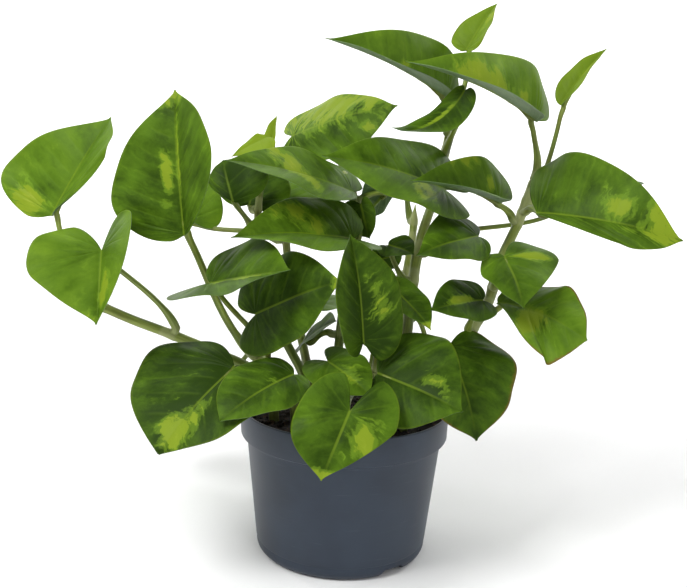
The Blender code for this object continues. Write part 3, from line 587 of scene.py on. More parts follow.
class Shell:
    """Collects points, faces, slots and per-point values, and makes one mesh of them."""

    def __init__(self):
        self.points = []
        self.faces = []
        self.slots = []
        self.values = {}

    def add_points(self, points, **values):
        """Adds points with a value or one for each of them, by name. Other values are 0 on them."""
        start = len(self.points)
        flat = np.asarray(points, float).reshape(-1, 3)
        self.points.extend(flat.tolist())
        for name in sorted(set(self.values) | set(values)):
            column = self.values.setdefault(name, [(0.0, 0.0, 0.0)] * start)
            new = np.asarray(values.get(name, (0.0, 0.0, 0.0)), float).reshape(-1, 3)
            column.extend(np.broadcast_to(new, (len(flat), 3)).tolist())
        return start

    def add_face(self, corners, slot):
        self.faces.append(tuple(corners))
        self.slots.append(slot)

    def add_cap(self, start, count, slot, flip=False):
        """One face over a ring of points."""
        ring = range(start, start + count)
        self.add_face(reversed(ring) if flip else ring, slot)

    def add_grid(self, start, rows, columns, slot, flip=False, closed=False):
        """Quads over rows by columns of points. Closed joins the last column to the first."""
        last = columns if closed else columns - 1
        for row in range(rows - 1):
            for column in range(last):
                a = start + row * columns + column
                b = start + row * columns + (column + 1) % columns
                c, d = b + columns, a + columns
                self.add_face((a, d, c, b) if flip else (a, b, c, d), slot)

    def to_object(self, name, materials):
        mesh = bpy.data.meshes.new(name)
        scaled = [(x * MM, y * MM, z * MM) for x, y, z in self.points]
        mesh.from_pydata(scaled, [], self.faces)
        for material in materials:
            mesh.materials.append(material)
        mesh.polygons.foreach_set("material_index", self.slots)
        for key, column in self.values.items():
            layer = mesh.attributes.new(key, "FLOAT_VECTOR", "POINT")
            layer.data.foreach_set("vector", np.asarray(column, float).ravel())
        mesh.shade_smooth()
        mesh.update()
        return add_object(name, mesh)


def frames_along(line, up):
    """Two directions that are square to each point of a line, carried along it without turning."""
    tangents = np.gradient(line, axis=0)
    tangents /= np.linalg.norm(tangents, axis=1, keepdims=True)
    frames = []
    reference = np.array(up, float)
    for tangent in tangents:
        reference = across(reference, tangent)
        frames.append((reference, np.cross(tangent, reference)))
    return frames


def sweep(shell, line, radii, sides, slot, up, outline, marks=0.0, seed=0.0):
    """A closed tube along a line. outline(turns, share) scales the radius around the section. Its points
    keep their share of the way, their turn and a mark for each ring, and the seed."""
    turns = np.arange(sides) / sides
    cosines = np.cos(2 * math.pi * turns)[:, None]
    sines = np.sin(2 * math.pi * turns)[:, None]
    rings = []
    values = []
    shares = np.arange(len(line)) / (len(line) - 1)
    marks = np.broadcast_to(marks, len(line))
    for point, radius, (top, side), share, mark in zip(line, radii, frames_along(line, up), shares, marks):
        scale = outline(turns, share)[:, None]
        rings.append(point + radius * scale * (cosines * top + sines * side))
        values.append(np.stack([np.full(sides, share), turns, np.full(sides, mark)], axis=1))
    start = shell.add_points(np.array(rings), tube=np.array(values), leaf_mm=(0.0, 0.0, seed))
    shell.add_grid(start, len(line), sides, slot, closed=True)
    shell.add_cap(start, sides, slot, flip=True)
    shell.add_cap(start + (len(line) - 1) * sides, sides, slot)


# ---- Leaves

def petiole_line(leaf, stem):
    """The petiole's centre line: off the stem, up, and into the underside of the blade's base."""
    point, direction, radius = stem_station(stem, leaf.drop)
    _, _, axis, normal, _ = blade_axes(leaf)
    half_arch = math.radians(leaf.arch) / 2
    base_axis = axis * math.cos(half_arch) + normal * math.sin(half_arch)
    base_normal = normal * math.cos(half_arch) - axis * math.sin(half_arch)
    end = midrib_points(leaf, PETIOLE_SOCKET) - base_normal * (BLADE_THICKNESS / 4)
    bow = np.array(leaf.bow, float)
    if leaf.drop == 0:
        outward = direction
        foot = point - direction * GAP
        leave = direction
    else:
        outward = across(end - point, direction)
        foot = point + outward * (radius * 0.6)
        leave = unit(outward * LEAVE[0] + direction * LEAVE[1])
    start = point + outward * ((0 if leaf.drop == 0 else radius) + GAP + PETIOLE_FOOT)
    reach = float(np.linalg.norm(end - start))
    back, along, under = ARRIVE
    arrive = unit(unit(start - end) * back - base_axis * along - base_normal * under)
    knot_a = start + leave * KNOTS[0] * reach + bow
    knot_b = end + arrive * KNOTS[1] * reach + bow
    line = [foot, (foot + start) / 2]
    for step in range(PETIOLE_POINTS + 1):
        t = step / PETIOLE_POINTS
        line.append((1 - t) ** 3 * start + 3 * (1 - t) ** 2 * t * knot_a
                    + 3 * (1 - t) * t * t * knot_b + t ** 3 * end)
    return np.array(line)


def splash_strength(look, out, share_along):
    """How strongly the leaf's splashes colour each point."""
    strengths = [np.zeros_like(out)]
    for centre_out, centre_along, wide, long, strength in look.splashes:
        apart = ((out - centre_out) / wide) ** 2 + ((share_along - centre_along) / long) ** 2
        strengths.append(strength * np.exp(-0.6 * apart))
    return np.max(strengths, axis=0)


def make_leaf(name, leaf, look, stem, seed, materials):
    shell = Shell()
    s_line = np.linspace(-1, 1, BLADE_ACROSS + 1)
    s_line = np.sign(s_line) * (1 - (1 - np.abs(s_line)) ** BLADE_CROWD)
    s, t = np.meshgrid(s_line, np.linspace(0, 1, BLADE_ALONG + 1))
    right = s >= 0
    share_out, share_along = row_places(leaf, s, t)
    x = np.sign(s) * share_out * full_width(leaf, right)
    rise = relief(leaf, s, t, x, share_along, seed, look.rust)
    top, _ = surface_points(leaf, right, share_out, share_along, rise)
    normals = surface_normals(leaf, right, share_out, share_along)
    rib = RIB_DEPTH * relief_size(leaf) * np.exp(-(x / 1.1) ** 2) * (1 - smoothstep(0.2, 0.95, share_along))
    middle = (1 - smoothstep(0.7, 1.0, np.abs(s))) * (1 - smoothstep(0.9, 1.0, t))
    thick = MARGIN_THICKNESS + (MIDDLE_THICKNESS - MARGIN_THICKNESS) * middle + rib
    under = top - normals * thick[..., None]
    length = blade_length(leaf)
    splash = splash_strength(look, np.sign(s) * share_out, share_along)
    columns = {
        "leaf_place": (s, share_along, t),
        "leaf_mm": (x, share_along * length, seed),
        "leaf_marks": (splash, look.tone, look.youth),
        "leaf_extra": (look.streaks, look.rust, length),
    }
    values = {key: np.stack(np.broadcast_arrays(s, *three)[1:], axis=2) for key, three in columns.items()}
    rows, across_count = s.shape
    upper = shell.add_points(top, **values)
    lower = shell.add_points(under, **values)
    shell.add_grid(upper, rows, across_count, 0)
    shell.add_grid(lower, rows, across_count, 1, flip=True)
    numbers = np.arange(s.size).reshape(s.shape)
    border = np.concatenate([numbers[0], numbers[1:, -1], numbers[-1, -2::-1], numbers[-2:0:-1, 0]]).tolist()
    for a, b in zip(border, border[1:] + border[:1]):
        shell.add_face((upper + b, upper + a, lower + a, lower + b), 1)
    add_petiole(shell, leaf, look, stem, seed)
    return shell.to_object(name, materials)


def grooved(turns, share):
    """A petiole's section, with a groove along its top."""
    groove = 0.22 * np.exp(-((np.minimum(turns, 1 - turns)) / 0.07) ** 2)
    return 1 - groove + 0.03 * np.cos(6 * math.pi * turns)


def add_petiole(shell, leaf, look, stem, seed):
    """The petiole with its sheath at the foot and its knuckle at the blade, where it runs on as a rib."""
    line = petiole_line(leaf, stem)
    _, _, _, normal, _ = blade_axes(leaf)
    tail = midrib_points(leaf, np.linspace(PETIOLE_SOCKET, 0.3, 7)[1:])
    line = np.vstack([line, tail])
    sums = lengths_along(line)
    total = sums[-1]
    tail_start = total - sums[-len(tail) - 1]
    sunk = PETIOLE_RADIUS * look.petiole + 0.3
    line = line - normal * (sunk * smoothstep(tail_start + 9.0, tail_start, total - sums))[:, None]
    radii = PETIOLE_RADIUS * look.petiole * (1.15 - 0.3 * sums / total)
    to_blade = total - sums - np.linalg.norm(tail[-1] - tail[0])
    sheath = min(22.0, 0.4 * total)
    foot_flare = 0.45 * (1 - smoothstep(sheath * 0.35, sheath, sums))
    knuckle = 0.22 * np.exp(-((to_blade - 5.0) / 4.5) ** 2)
    taper = 1 - 0.75 * smoothstep(0.0, 12.0, -to_blade)
    radii = radii * (1 + foot_flare + knuckle) * taper
    sweep(shell, line, radii, PETIOLE_SIDES, 2, normal, grooved, seed=seed)


# ---- Material graphs

def srgb(red, green, blue):
    """A colour given as the eye sees it, 0 to 255, as the linear colour that a shader takes."""
    linear = []
    for value in (red, green, blue):
        share = value / 255
        linear.append(share / 12.92 if share <= 0.04045 else ((share + 0.055) / 1.055) ** 2.4)
    return (*linear, 1.0)


class Graph:
    """A material with short calls for the nodes that it is made of."""

    def __init__(self, name):
        self.material = bpy.data.materials.new(name)
        self.material.use_nodes = True
        self.tree = self.material.node_tree

    def put(self, socket, value):
        if isinstance(value, bpy.types.NodeSocket):
            self.tree.links.new(value, socket)
        else:
            socket.default_value = value

    def finish(self, **settings):
        """Sets or links the shader's sockets, named with underscores for spaces."""
        for name, value in settings.items():
            self.put(self.tree.nodes["Principled BSDF"].inputs[name.replace("_", " ")], value)
        return self.material

    def node(self, kind, inputs=(), **settings):
        """A new node's outputs. The inputs are values by socket name or number."""
        node = self.tree.nodes.new("ShaderNode" + kind)
        for name, value in settings.items():
            setattr(node, name, value)
        for socket, value in dict(inputs).items():
            self.put(node.inputs[socket], value)
        return node.outputs

    def split(self, vector):
        return self.node("SeparateXYZ", {0: vector})[:3]

    def join(self, x, y, z):
        return self.node("CombineXYZ", {0: x, 1: y, 2: z})[0]

    def attribute(self, name):
        """The three parts of a value that the mesh's points keep."""
        return self.split(self.node("Attribute", attribute_type="GEOMETRY", attribute_name=name)["Vector"])

    def object_place(self):
        return self.node("TexCoord")["Object"]

    def math(self, operation, a, b=0.0):
        return self.node("Math", {0: a, 1: b}, operation=operation)[0]

    def add(self, first, *others):
        for other in others:
            first = self.math("ADD", first, other)
        return first

    def times(self, a, b):
        return self.math("MULTIPLY", a, b)

    def swing(self, share, amount):
        """A share of 0 to 1 as a value on both sides of 0, with so much between its ends."""
        return self.times(self.add(share, -0.5), amount)

    def step(self, value, low, high, out_low=0.0, out_high=1.0):
        """A smooth step from out_low to out_high as the value goes from low to high."""
        inputs = enumerate((value, low, high, out_low, out_high))
        return self.node("MapRange", inputs, interpolation_type="SMOOTHSTEP")[0]

    def noise(self, vector, scale, detail=2.0, roughness=0.5):
        return self.node("TexNoise", {"Vector": vector, "Scale": scale, "Detail": detail,
                                      "Roughness": roughness})[0]

    def mix(self, share, a, b):
        return self.node("Mix", {0: share, 6: a, 7: b}, data_type="RGBA")[2]

    def bump(self, height, strength, distance):
        return self.node("Bump", {"Strength": strength, "Distance": distance, "Height": height})[0]


# ---- Leaf materials

DEEP_GREEN = srgb(36, 58, 4)
MID_GREEN = srgb(78, 109, 20)
LIGHT_GREEN = srgb(110, 142, 34)
LIME = srgb(126, 146, 34)
YELLOW = srgb(150, 160, 52)
YOUNG = srgb(124, 144, 30)
MIDRIB = srgb(112, 136, 34)
RUST = srgb(112, 74, 40)
UNDER_DEEP = srgb(72, 98, 54)
UNDER_PALE = srgb(118, 142, 96)


def leaf_graph(name, seed_shift):
    """A graph with the values that a blade's points keep, and its flat places, apart for each leaf."""
    g = Graph(name)
    g.s, g.share, g.row = g.attribute("leaf_place")
    g.x, y, g.seed = g.attribute("leaf_mm")
    g.splash, g.tone, g.youth = g.attribute("leaf_marks")
    g.streaks, g.rust, g.length = g.attribute("leaf_extra")
    g.away = g.math("ABSOLUTE", g.s)
    g.shift = g.times(g.seed, seed_shift)
    g.flat = g.join(g.x, y, g.shift)
    return g


def along_rows(g, x_scale, row_mm, row_scale, detail=3.0, roughness=0.6):
    """Noise that is drawn out along the rows, as the side veins are."""
    return g.noise(g.join(g.times(g.x, x_scale), g.times(row_mm, row_scale), g.shift), 1.0, detail, roughness)


def vein_lines(g):
    """1 on a side vein and 0 between two. The side veins follow the rows and alternate over the midrib."""
    count = g.math("ROUND", g.math("MAXIMUM", g.times(g.length, 1 / VEIN_SPACING), LEAST_VEINS))
    waver = g.times(g.math("SINE", g.add(g.times(g.row, WAVER_TURN), g.seed)), VEIN_WAVER)
    place = g.add(g.times(g.row, count), waver, g.times(g.math("SIGN", g.s), VEIN_STAGGER))
    return g.step(g.math("PINGPONG", place, 0.5), 0.0, 0.11, 1.0, 0.0)


def leaf_top_material():
    g = leaf_graph("leaf_top", 7.3)
    row_mm = g.add(g.times(g.row, g.length), g.swing(g.noise(g.flat, 0.16), 5.0))
    broad = along_rows(g, 0.07, row_mm, 0.2, 2.0, 0.5)
    streaky = along_rows(g, 0.09, row_mm, 0.6)
    clouds = g.noise(g.flat, 0.06)
    mottle = g.noise(g.flat, 0.5, 4.0, 0.65)
    grain = g.noise(g.flat, 2.4)

    depth = g.add(g.times(g.tone, 0.8), g.swing(clouds, 0.7), g.swing(broad, 0.5), g.swing(streaky, 0.35),
                  g.swing(mottle, 0.25), g.step(g.away, 0.25, 1.0, -0.03, 0.12))
    dark = g.mix(g.step(depth, -0.1, 0.55), DEEP_GREEN, MID_GREEN)
    green = g.mix(g.step(depth, 0.35, 1.15), dark, LIGHT_GREEN)
    ragged = g.add(g.swing(streaky, 1.2), g.swing(mottle, 0.4), g.swing(broad, 1.5))
    stray = g.times(g.step(ragged, 0.24, 0.5), g.times(g.streaks, 0.6))
    strayed = g.mix(stray, green, LIGHT_GREEN)

    patch = g.add(g.splash, g.times(ragged, 0.7))
    halo = g.mix(g.step(patch, 0.34, 0.5, 0.0, 0.5), strayed, LIGHT_GREEN)
    splashed = g.mix(g.step(patch, 0.55, 0.66, 0.0, 0.85), halo, LIME)
    splashed = g.mix(g.step(patch, 0.9, 1.3, 0.0, 0.7), splashed, YELLOW)
    young = g.mix(g.times(g.youth, 0.85), splashed, YOUNG)

    lines = g.times(vein_lines(g), g.step(g.away, 0.02, 0.12))
    lines = g.times(lines, g.step(g.away, 0.95, 0.6))
    veined = g.mix(g.times(lines, 0.1), young, LIGHT_GREEN)
    rib = g.times(g.step(g.math("ABSOLUTE", g.x), 0.95, 0.3), g.step(g.share, 1.0, 0.3, 0.0, 0.55))
    ribbed = g.mix(rib, veined, MIDRIB)
    margined = g.mix(g.step(g.away, 0.96, 0.995, 0.0, 0.2), ribbed, LIME)
    edge = g.step(g.add(g.away, g.swing(mottle, 0.12)), 0.93, 1.0)
    browned = g.mix(g.times(edge, g.times(g.rust, 0.75)), margined, RUST)

    shine = g.add(0.5, g.swing(mottle, 0.2), g.swing(clouds, 0.14))
    height = g.add(g.times(streaky, 0.5), g.times(grain, 0.22), g.times(lines, -0.45))
    normal = g.bump(height, 0.38, 0.0004)
    return g.finish(Base_Color=browned, Roughness=shine, Normal=normal, Specular_IOR_Level=0.08)


def leaf_under_material():
    g = leaf_graph("leaf_under", 3.1)
    streaky = along_rows(g, 0.1, g.times(g.row, g.length), 0.6)
    clouds = g.noise(g.flat, 0.08)
    mottle = g.noise(g.flat, 0.7, 3.0, 0.6)
    depth = g.add(g.times(g.tone, 0.5), g.times(clouds, 0.5), g.times(streaky, 0.35), g.swing(mottle, 0.3))
    green = g.mix(g.step(depth, 0.35, 1.0), UNDER_DEEP, UNDER_PALE)
    patch = g.add(g.splash, g.swing(streaky, 0.8))
    patched = g.mix(g.step(patch, 0.5, 0.7, 0.0, 0.55), green, LIME)
    young = g.mix(g.times(g.youth, 0.7), patched, YOUNG)
    lines = g.times(vein_lines(g), g.step(g.away, 0.95, 0.7))
    veined = g.mix(g.times(lines, 0.35), young, UNDER_PALE)
    rib = g.times(g.step(g.math("ABSOLUTE", g.x), 1.8, 0.5), g.step(g.share, 1.0, 0.4))
    ribbed = g.mix(g.times(rib, 0.8), veined, MIDRIB)
    normal = g.bump(g.add(g.times(lines, 0.7), g.times(streaky, 0.3)), 0.4, 0.0005)
    return g.finish(Base_Color=ribbed, Roughness=0.6, Normal=normal, Specular_IOR_Level=0.15)


def petiole_material():
    g = Graph("petiole")
    share, turn, _ = g.attribute("tube")
    _, _, seed = g.attribute("leaf_mm")
    lengthwise = g.noise(g.join(g.times(turn, 9.0), g.times(share, 2.0), g.times(seed, 3.7)), 1.0, 2.0, 0.6)
    clouds = g.noise(g.object_place(), 60.0, 3.0, 0.6)
    green = g.mix(g.step(lengthwise, 0.35, 0.65), srgb(84, 104, 28), srgb(136, 152, 62))
    toned = g.mix(g.step(clouds, 0.42, 0.68, 0.0, 0.5), green, srgb(94, 90, 36))
    groove = g.step(g.math("PINGPONG", turn, 0.5), 0.09, 0.02)
    lined = g.mix(g.times(groove, 0.45), toned, srgb(150, 164, 92))
    foot = g.mix(g.step(share, 0.16, 0.0, 0.0, 0.7), lined, srgb(158, 166, 112))
    joint = g.mix(g.step(share, 0.76, 0.86, 0.0, 0.35), foot, srgb(106, 114, 40))
    normal = g.bump(lengthwise, 0.3, 0.0003)
    return g.finish(Base_Color=joint, Roughness=0.45, Normal=normal, Specular_IOR_Level=0.4)


# ---- Stem, pot and soil materials

def stem_material():
    g = Graph("vine_skin")
    share, turn, sheath = g.attribute("tube")
    place = g.object_place()
    _, _, z = g.split(place)
    lengthwise = g.noise(g.join(g.times(turn, 7.0), g.times(share, 3.0), g.times(share, 1.3)), 1.0, 3.0, 0.6)
    clouds = g.noise(place, 45.0, 3.0, 0.6)
    green = g.mix(g.step(lengthwise, 0.35, 0.65), srgb(92, 110, 30), srgb(140, 154, 66))
    corky = g.mix(g.step(clouds, 0.5, 0.7, 0.0, 0.55), green, srgb(98, 86, 50))
    papery = g.times(g.step(g.add(sheath, g.swing(lengthwise, 0.8)), 0.3, 0.7), 0.75)
    sheathed = g.mix(papery, corky, srgb(158, 164, 108))
    low = g.step(z, 0.115, 0.08, 0.0, 0.55)
    grounded = g.mix(low, sheathed, srgb(72, 66, 34))
    normal = g.bump(g.add(lengthwise, g.times(clouds, 0.5)), 0.4, 0.0004)
    return g.finish(Base_Color=grounded, Roughness=0.5, Normal=normal)


def pot_material():
    g = Graph("pot_plastic")
    place = g.object_place()
    grain = g.noise(place, 1900.0)
    clouds = g.noise(place, 26.0, 3.0)
    x, y, z = g.split(place)
    scuffs = g.noise(g.join(g.times(x, 60.0), g.times(y, 60.0), g.times(z, 900.0)), 1.0)
    colour = g.mix(g.step(clouds, 0.35, 0.65), srgb(40, 49, 62), srgb(46, 56, 70))
    dust = g.mix(g.step(scuffs, 0.62, 0.78, 0.0, 0.12), colour, srgb(94, 100, 110))
    shine = g.add(0.44, g.swing(clouds, 0.16))
    normal = g.bump(g.add(grain, g.times(scuffs, 0.25)), 0.12, 0.0002)
    return g.finish(Base_Color=dust, Roughness=shine, Normal=normal, Specular_IOR_Level=0.35)


def soil_material():
    g = Graph("peat")
    place = g.object_place()
    coarse = g.noise(place, 240.0, 4.0, 0.65)
    fine = g.noise(place, 1400.0, 3.0, 0.6)
    cell, _, _ = g.split(g.node("TexVoronoi", {"Vector": place, "Scale": 420.0})["Color"])
    peat = g.mix(g.step(coarse, 0.35, 0.7), srgb(14, 10, 8), srgb(36, 26, 19))
    bits = g.mix(g.step(cell, 0.8, 0.95, 0.0, 0.8), peat, srgb(66, 47, 32))
    fibre = g.mix(g.step(fine, 0.62, 0.8, 0.0, 0.4), bits, srgb(80, 62, 44))
    normal = g.bump(g.add(g.times(coarse, 0.6), g.times(fine, 0.4)), 0.8, 0.0012)
    return g.finish(Base_Color=fibre, Roughness=0.92, Normal=normal, Specular_IOR_Level=0.25)


# ---- Stems

def ridged(turns, share):
    """A stem's section, with ridges that wind a little on the way up."""
    return 1 + 0.05 * np.cos(2 * math.pi * (3 * turns + 0.6 * share)) + 0.02 * np.cos(14 * math.pi * turns)


def make_stem(stem, materials):
    """A stem with a ring and a pale sheath where each leaf leaves it. One whose leaves all leave it below
    its end tapers to a growing tip."""
    shell = Shell()
    line = stem_line(stem, STEM_POINTS)
    sums = lengths_along(line)
    total = sums[-1]
    foot, end = stem.radius
    radii = foot + (end - foot) * sums / total
    sheaths = np.zeros_like(sums)
    for leaf in stem.leaves:
        beyond = sums - (total - leaf.drop)
        radii = radii * (1 + 0.16 * np.exp(-(beyond / 2.2) ** 2))
        sheaths = np.maximum(sheaths, np.exp(-((beyond - 3.0) / 5.0) ** 2))
    bare = min(leaf.drop for leaf in stem.leaves) > 0
    thinned, over = GROWING_TIP if bare else LEAFY_TIP
    radii = radii * (1 - thinned * smoothstep(total - over, total, sums))
    sweep(shell, line, radii, STEM_SIDES, 0, (0.3, 1.0, 0.2), ridged, marks=sheaths)
    return shell.to_object("vine_" + stem.name + "_fine", materials)


# ---- Pot

def pot_outline():
    """The pot's section as radii and heights, from the middle of its floor over the rim to the underside."""
    outer_wall = RIM_RADIUS - COLLAR_STEP
    inner_base = BASE_RADIUS - WALL
    underside, floor = FLOOR
    skirt = BASE_RADIUS - BASE_CORNER - WALL
    inside = [
        (0.0, floor),
        (inner_base - WALL, floor),
        (inner_base - 0.4, floor + 0.4),
        (inner_base, floor + WALL),
        (outer_wall - WALL, COLLAR_FOOT - COLLAR_LEDGE),
        (RIM_RADIUS - WALL - 0.6, COLLAR_FOOT + COLLAR_LEDGE - 0.5),
        (RIM_RADIUS - WALL, COLLAR_FOOT + COLLAR_LEDGE),
    ]
    bead = WALL / 2
    rim = [(RIM_RADIUS - bead - bead * math.cos(angle), POT_HEIGHT - bead * (1 - math.sin(angle)))
           for angle in arc_angles(180.0, 8)]
    collar = RIM_RADIUS - RIM_ROUND
    outside = [
        (collar + 0.05, COLLAR_FOOT + 0.9),
        (collar - 0.25, COLLAR_FOOT + 0.2),
        (collar - 0.8, COLLAR_FOOT - 0.1),
        (outer_wall + 0.7, COLLAR_FOOT - 0.9),
        (outer_wall + 0.1, COLLAR_FOOT - 1.6),
        (outer_wall - 0.1, COLLAR_FOOT - COLLAR_LEDGE - 1.0),
    ]
    seam = [
        (BASE_RADIUS + 0.24, SEAM_HEIGHT + 0.4),
        (BASE_RADIUS + 0.10, SEAM_HEIGHT),
        (BASE_RADIUS - 0.12, SEAM_HEIGHT - 0.3),
    ]
    corner = [(BASE_RADIUS - 0.15 - BASE_CORNER * (1 - math.cos(angle)), BASE_CORNER * (1 - math.sin(angle)))
              for angle in arc_angles(90.0, 8)]
    below = [
        (skirt, 0.0),
        (skirt, underside),
        (FOOT_RADIUS, underside),
        (FOOT_RADIUS, 0.0),
        (0.0, 0.0),
    ]
    return inside + rim + outside + seam + corner + below


def make_pot(material):
    builder = bmesh.new()
    rings = []
    for radius, height in pot_outline():
        places = circle(radius * MM, POT_STEPS) if radius > 0 else [(0, 0)]
        rings.append([builder.verts.new((x, y, height * MM)) for x, y in places])
    for upper, lower in zip(rings, rings[1:]):
        for step in range(POT_STEPS):
            beside = (step + 1) % POT_STEPS
            if len(upper) == 1:
                corners = (upper[0], lower[step], lower[beside])
            elif len(lower) == 1:
                corners = (upper[step], lower[0], upper[beside])
            else:
                corners = (upper[step], lower[step], lower[beside], upper[beside])
            builder.faces.new(corners)
    bmesh.ops.recalc_face_normals(builder, faces=builder.faces)
    pot = built_object("pot_fine", builder)
    pot.data.materials.append(material)
    cut_holes(pot)
    pot.data.shade_smooth()
    pot.data.set_sharp_from_angle(angle=math.radians(POT_SHARP))
    return pot


def cut_holes(pot):
    """Cuts the skirt's gaps and the floor's drain holes, and leaves plain geometry."""
    builder = bmesh.new()
    half = GAP_WIDTH / 2
    side = [(-half, -1.0), (-half, 0.0), (-half + 2.6, GAP_HEIGHT - 0.9), (-half + 3.6, GAP_HEIGHT)]
    section = side + [(-y, z) for y, z in reversed(side)]
    for index in range(GAP_COUNT):
        turn = Matrix.Rotation(math.radians(GAP_BEARING + 360.0 * index / GAP_COUNT), 4, "Z")
        near, far = [[builder.verts.new(turn @ Vector((reach * MM, y * MM, z * MM))) for y, z in section]
                     for reach in GAP_REACH]
        for step in range(len(section)):
            beside = (step + 1) % len(section)
            builder.faces.new((near[step], near[beside], far[beside], far[step]))
        builder.faces.new(near)
        builder.faces.new(far)
    for x, y in circle(DRAIN_CIRCLE * MM, DRAIN_COUNT):
        place = Matrix.Translation((x, y, sum(FLOOR) / 2 * MM))
        bmesh.ops.create_cone(builder, cap_ends=True, segments=32, radius1=DRAIN_RADIUS * MM,
                              radius2=DRAIN_RADIUS * MM, depth=DRAIN_CUT * MM, matrix=place)
    bmesh.ops.recalc_face_normals(builder, faces=builder.faces)
    cutter = built_object("pot_cutter", builder)
    modifier = pot.modifiers.new("holes", "BOOLEAN")
    modifier.operation = "DIFFERENCE"
    modifier.solver = "EXACT"
    modifier.object = cutter
    bpy.context.view_layer.update()
    evaluated = pot.evaluated_get(bpy.context.evaluated_depsgraph_get())
    pot.data = bpy.data.meshes.new_from_object(evaluated)
    pot.modifiers.clear()
    bpy.data.objects.remove(cutter, do_unlink=True)


# ---- Soil

def soil_height(x, y):
    """The soil's top at a place, in millimetres, with its lumps and the rings round the stems."""
    share = min(math.hypot(x, y) / SOIL_RADIUS, 1.0)
    height = SOIL_EDGE + (SOIL_CROWN - SOIL_EDGE) * math.cos(math.pi / 2 * share)
    place = Vector((x, y, 0.0))
    for rise, fine, dimension, gap, octaves in SOIL_LUMPS:
        height += rise * noise.fractal(place * fine, dimension, gap, octaves)
    rise, fine = SOIL_GRAIN
    height += rise * noise.noise(place * fine)
    rise, radius, width = STEM_RING
    for stem in STEMS:
        away = math.hypot(x - stem.root[0], y - stem.root[1])
        height += rise * math.exp(-((away - radius) / width) ** 2)
    return min(height, SOIL_CROWN + MOST_SOIL)


def make_soil(material):
    shell = Shell()
    rows = []
    for ring in range(1, SOIL_RINGS + 1):
        places = circle(SOIL_RADIUS * ring / SOIL_RINGS, SOIL_STEPS)
        rows.append([(x, y, soil_height(x, y)) for x, y in places])
    inner_base = BASE_RADIUS - WALL - GAP
    outer_wall = RIM_RADIUS - COLLAR_STEP
    side = [
        (SOIL_RADIUS, COLLAR_FOOT + COLLAR_LEDGE + GAP),
        (outer_wall - WALL - GAP, COLLAR_FOOT - COLLAR_LEDGE + GAP),
        (inner_base, SOIL_FOOT + WALL),
        (inner_base - WALL, SOIL_FOOT),
        (0.01, SOIL_FOOT),
    ]
    for radius, height in side:
        rows.append([(x, y, height) for x, y in circle(radius, SOIL_STEPS)])
    start = shell.add_points(rows)
    centre = shell.add_points((0.0, 0.0, soil_height(0.0, 0.0)))
    shell.add_grid(start, len(rows), SOIL_STEPS, 0, flip=True, closed=True)
    for step in range(SOIL_STEPS):
        shell.add_face((centre, start + step, start + (step + 1) % SOIL_STEPS), 0)
    shell.add_cap(start + (len(rows) - 1) * SOIL_STEPS, SOIL_STEPS, 0, flip=True)
    add_crumbs(shell)
    return shell.to_object("soil_fine", [material])


def add_crumbs(shell):
    """Loose lumps of peat and bark on the soil's top, each a small bent block."""
    builder = bmesh.new()
    bmesh.ops.create_icosphere(builder, subdivisions=1, radius=1.0)
    ball = np.array([tuple(vertex.co) for vertex in builder.verts])
    faces = [[vertex.index for vertex in face.verts] for face in builder.faces]
    builder.free()
    rng = np.random.default_rng(11)
    for _ in range(CRUMBS):
        radius = (RIM_RADIUS - CRUMB_EDGE) * math.sqrt(rng.uniform(0.02, 1.0))
        angle = rng.uniform(0, 2 * math.pi)
        x, y = radius * math.cos(angle), radius * math.sin(angle)
        size = 0.7 + 1.5 * rng.random() ** 2
        shape = size * np.array((rng.uniform(0.8, 1.9), rng.uniform(0.6, 1.1), rng.uniform(0.4, 0.8)))
        points = ball * shape * (1 + rng.uniform(-0.28, 0.28, (len(ball), 1)))
        turn = Matrix.Rotation(rng.uniform(0, 2 * math.pi), 3, "Z")
        turn = turn @ Matrix.Rotation(rng.uniform(-0.5, 0.5), 3, "X")
        points = points @ np.array(turn).T + np.array((x, y, soil_height(x, y) + 0.15 * size))
        start = shell.add_points(points)
        for face in faces:
            shell.add_face((start + index for index in face), 0)


# ---- Floor, lights and camera

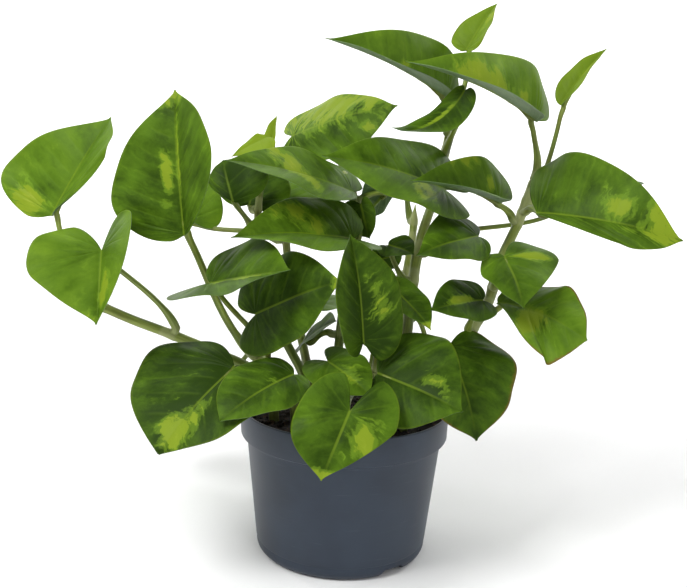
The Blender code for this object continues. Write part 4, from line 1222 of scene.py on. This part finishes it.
def make_cove():
    """A sheet of pale paper: a floor that curves up into a backdrop far behind the plant."""
    section = [(-COVE_FRONT, 0.0)]
    for angle in arc_angles(90.0, 12):
        section.append((COVE_START + COVE_RADIUS * math.sin(angle), COVE_RADIUS * (1 - math.cos(angle))))
    section.append((COVE_START + COVE_RADIUS, COVE_TOP))
    builder = bmesh.new()
    left, right = [[builder.verts.new((x, y, z)) for y, z in section] for x in (-COVE_REACH, COVE_REACH)]
    for near in range(len(section) - 1):
        builder.faces.new((left[near], right[near], right[near + 1], left[near + 1]))
    cove = built_object("paper_cove", builder)
    cove.data.shade_smooth()
    g = Graph("floor_paper")
    shade = g.noise(g.object_place(), 3.0)
    colour = g.mix(shade, (0.9, 0.9, 0.9, 1.0), (0.93, 0.93, 0.93, 1.0))
    cove.data.materials.append(g.finish(Base_Color=colour, Roughness=0.9, Specular_IOR_Level=0.1))


def make_studio():
    world = bpy.data.worlds.new("studio")
    world.use_nodes = True
    background = world.node_tree.nodes["Background"]
    background.inputs["Color"].default_value = (1.0, 1.0, 1.0, 1.0)
    background.inputs["Strength"].default_value = WORLD_LIGHT
    bpy.context.scene.world = world
    for name, place, target, size, power in LIGHTS:
        data = bpy.data.lights.new(name, "AREA")
        data.shape = "RECTANGLE"
        data.size, data.size_y = size
        data.energy = power
        light = add_object(name, data)
        light.location = place
        light.rotation_euler = (Vector(target) - Vector(place)).to_track_quat("-Z", "Y").to_euler()
    bpy.context.scene.view_settings.view_transform = "Standard"


def make_camera():
    data = bpy.data.cameras.new("camera")
    data.lens = LENS
    data.sensor_width = SENSOR
    camera = add_object("camera", data)
    tilt = Matrix.Rotation(math.radians(90.0 - CAMERA_PITCH), 4, "X")
    roll = Matrix.Rotation(math.radians(CAMERA_ROLL), 4, "Z")
    camera.matrix_world = Matrix.Translation(CAMERA_PLACE) @ tilt @ roll
    bpy.context.scene.camera = camera


# ---- The whole scene

def stand_for(piece, node):
    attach(piece, "root")
    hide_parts(node)


def main():
    make_cove()
    make_studio()
    make_camera()
    stand_for(make_pot(pot_material()), "pot")
    stand_for(make_soil(soil_material()), "soil")
    leaf_materials = [leaf_top_material(), leaf_under_material(), petiole_material()]
    stem_materials = [stem_material()]
    seed = 0
    for stem in STEMS:
        stand_for(make_stem(stem, stem_materials), "vine_" + stem.name)
        for number, leaf in enumerate(stem.leaves, start=1):
            seed += 1
            key = f"{stem.name}{number}"
            piece = make_leaf("leaf_" + key + "_fine", leaf, LOOKS[key], stem, seed, leaf_materials)
            stand_for(piece, "leaf_" + key)


main()
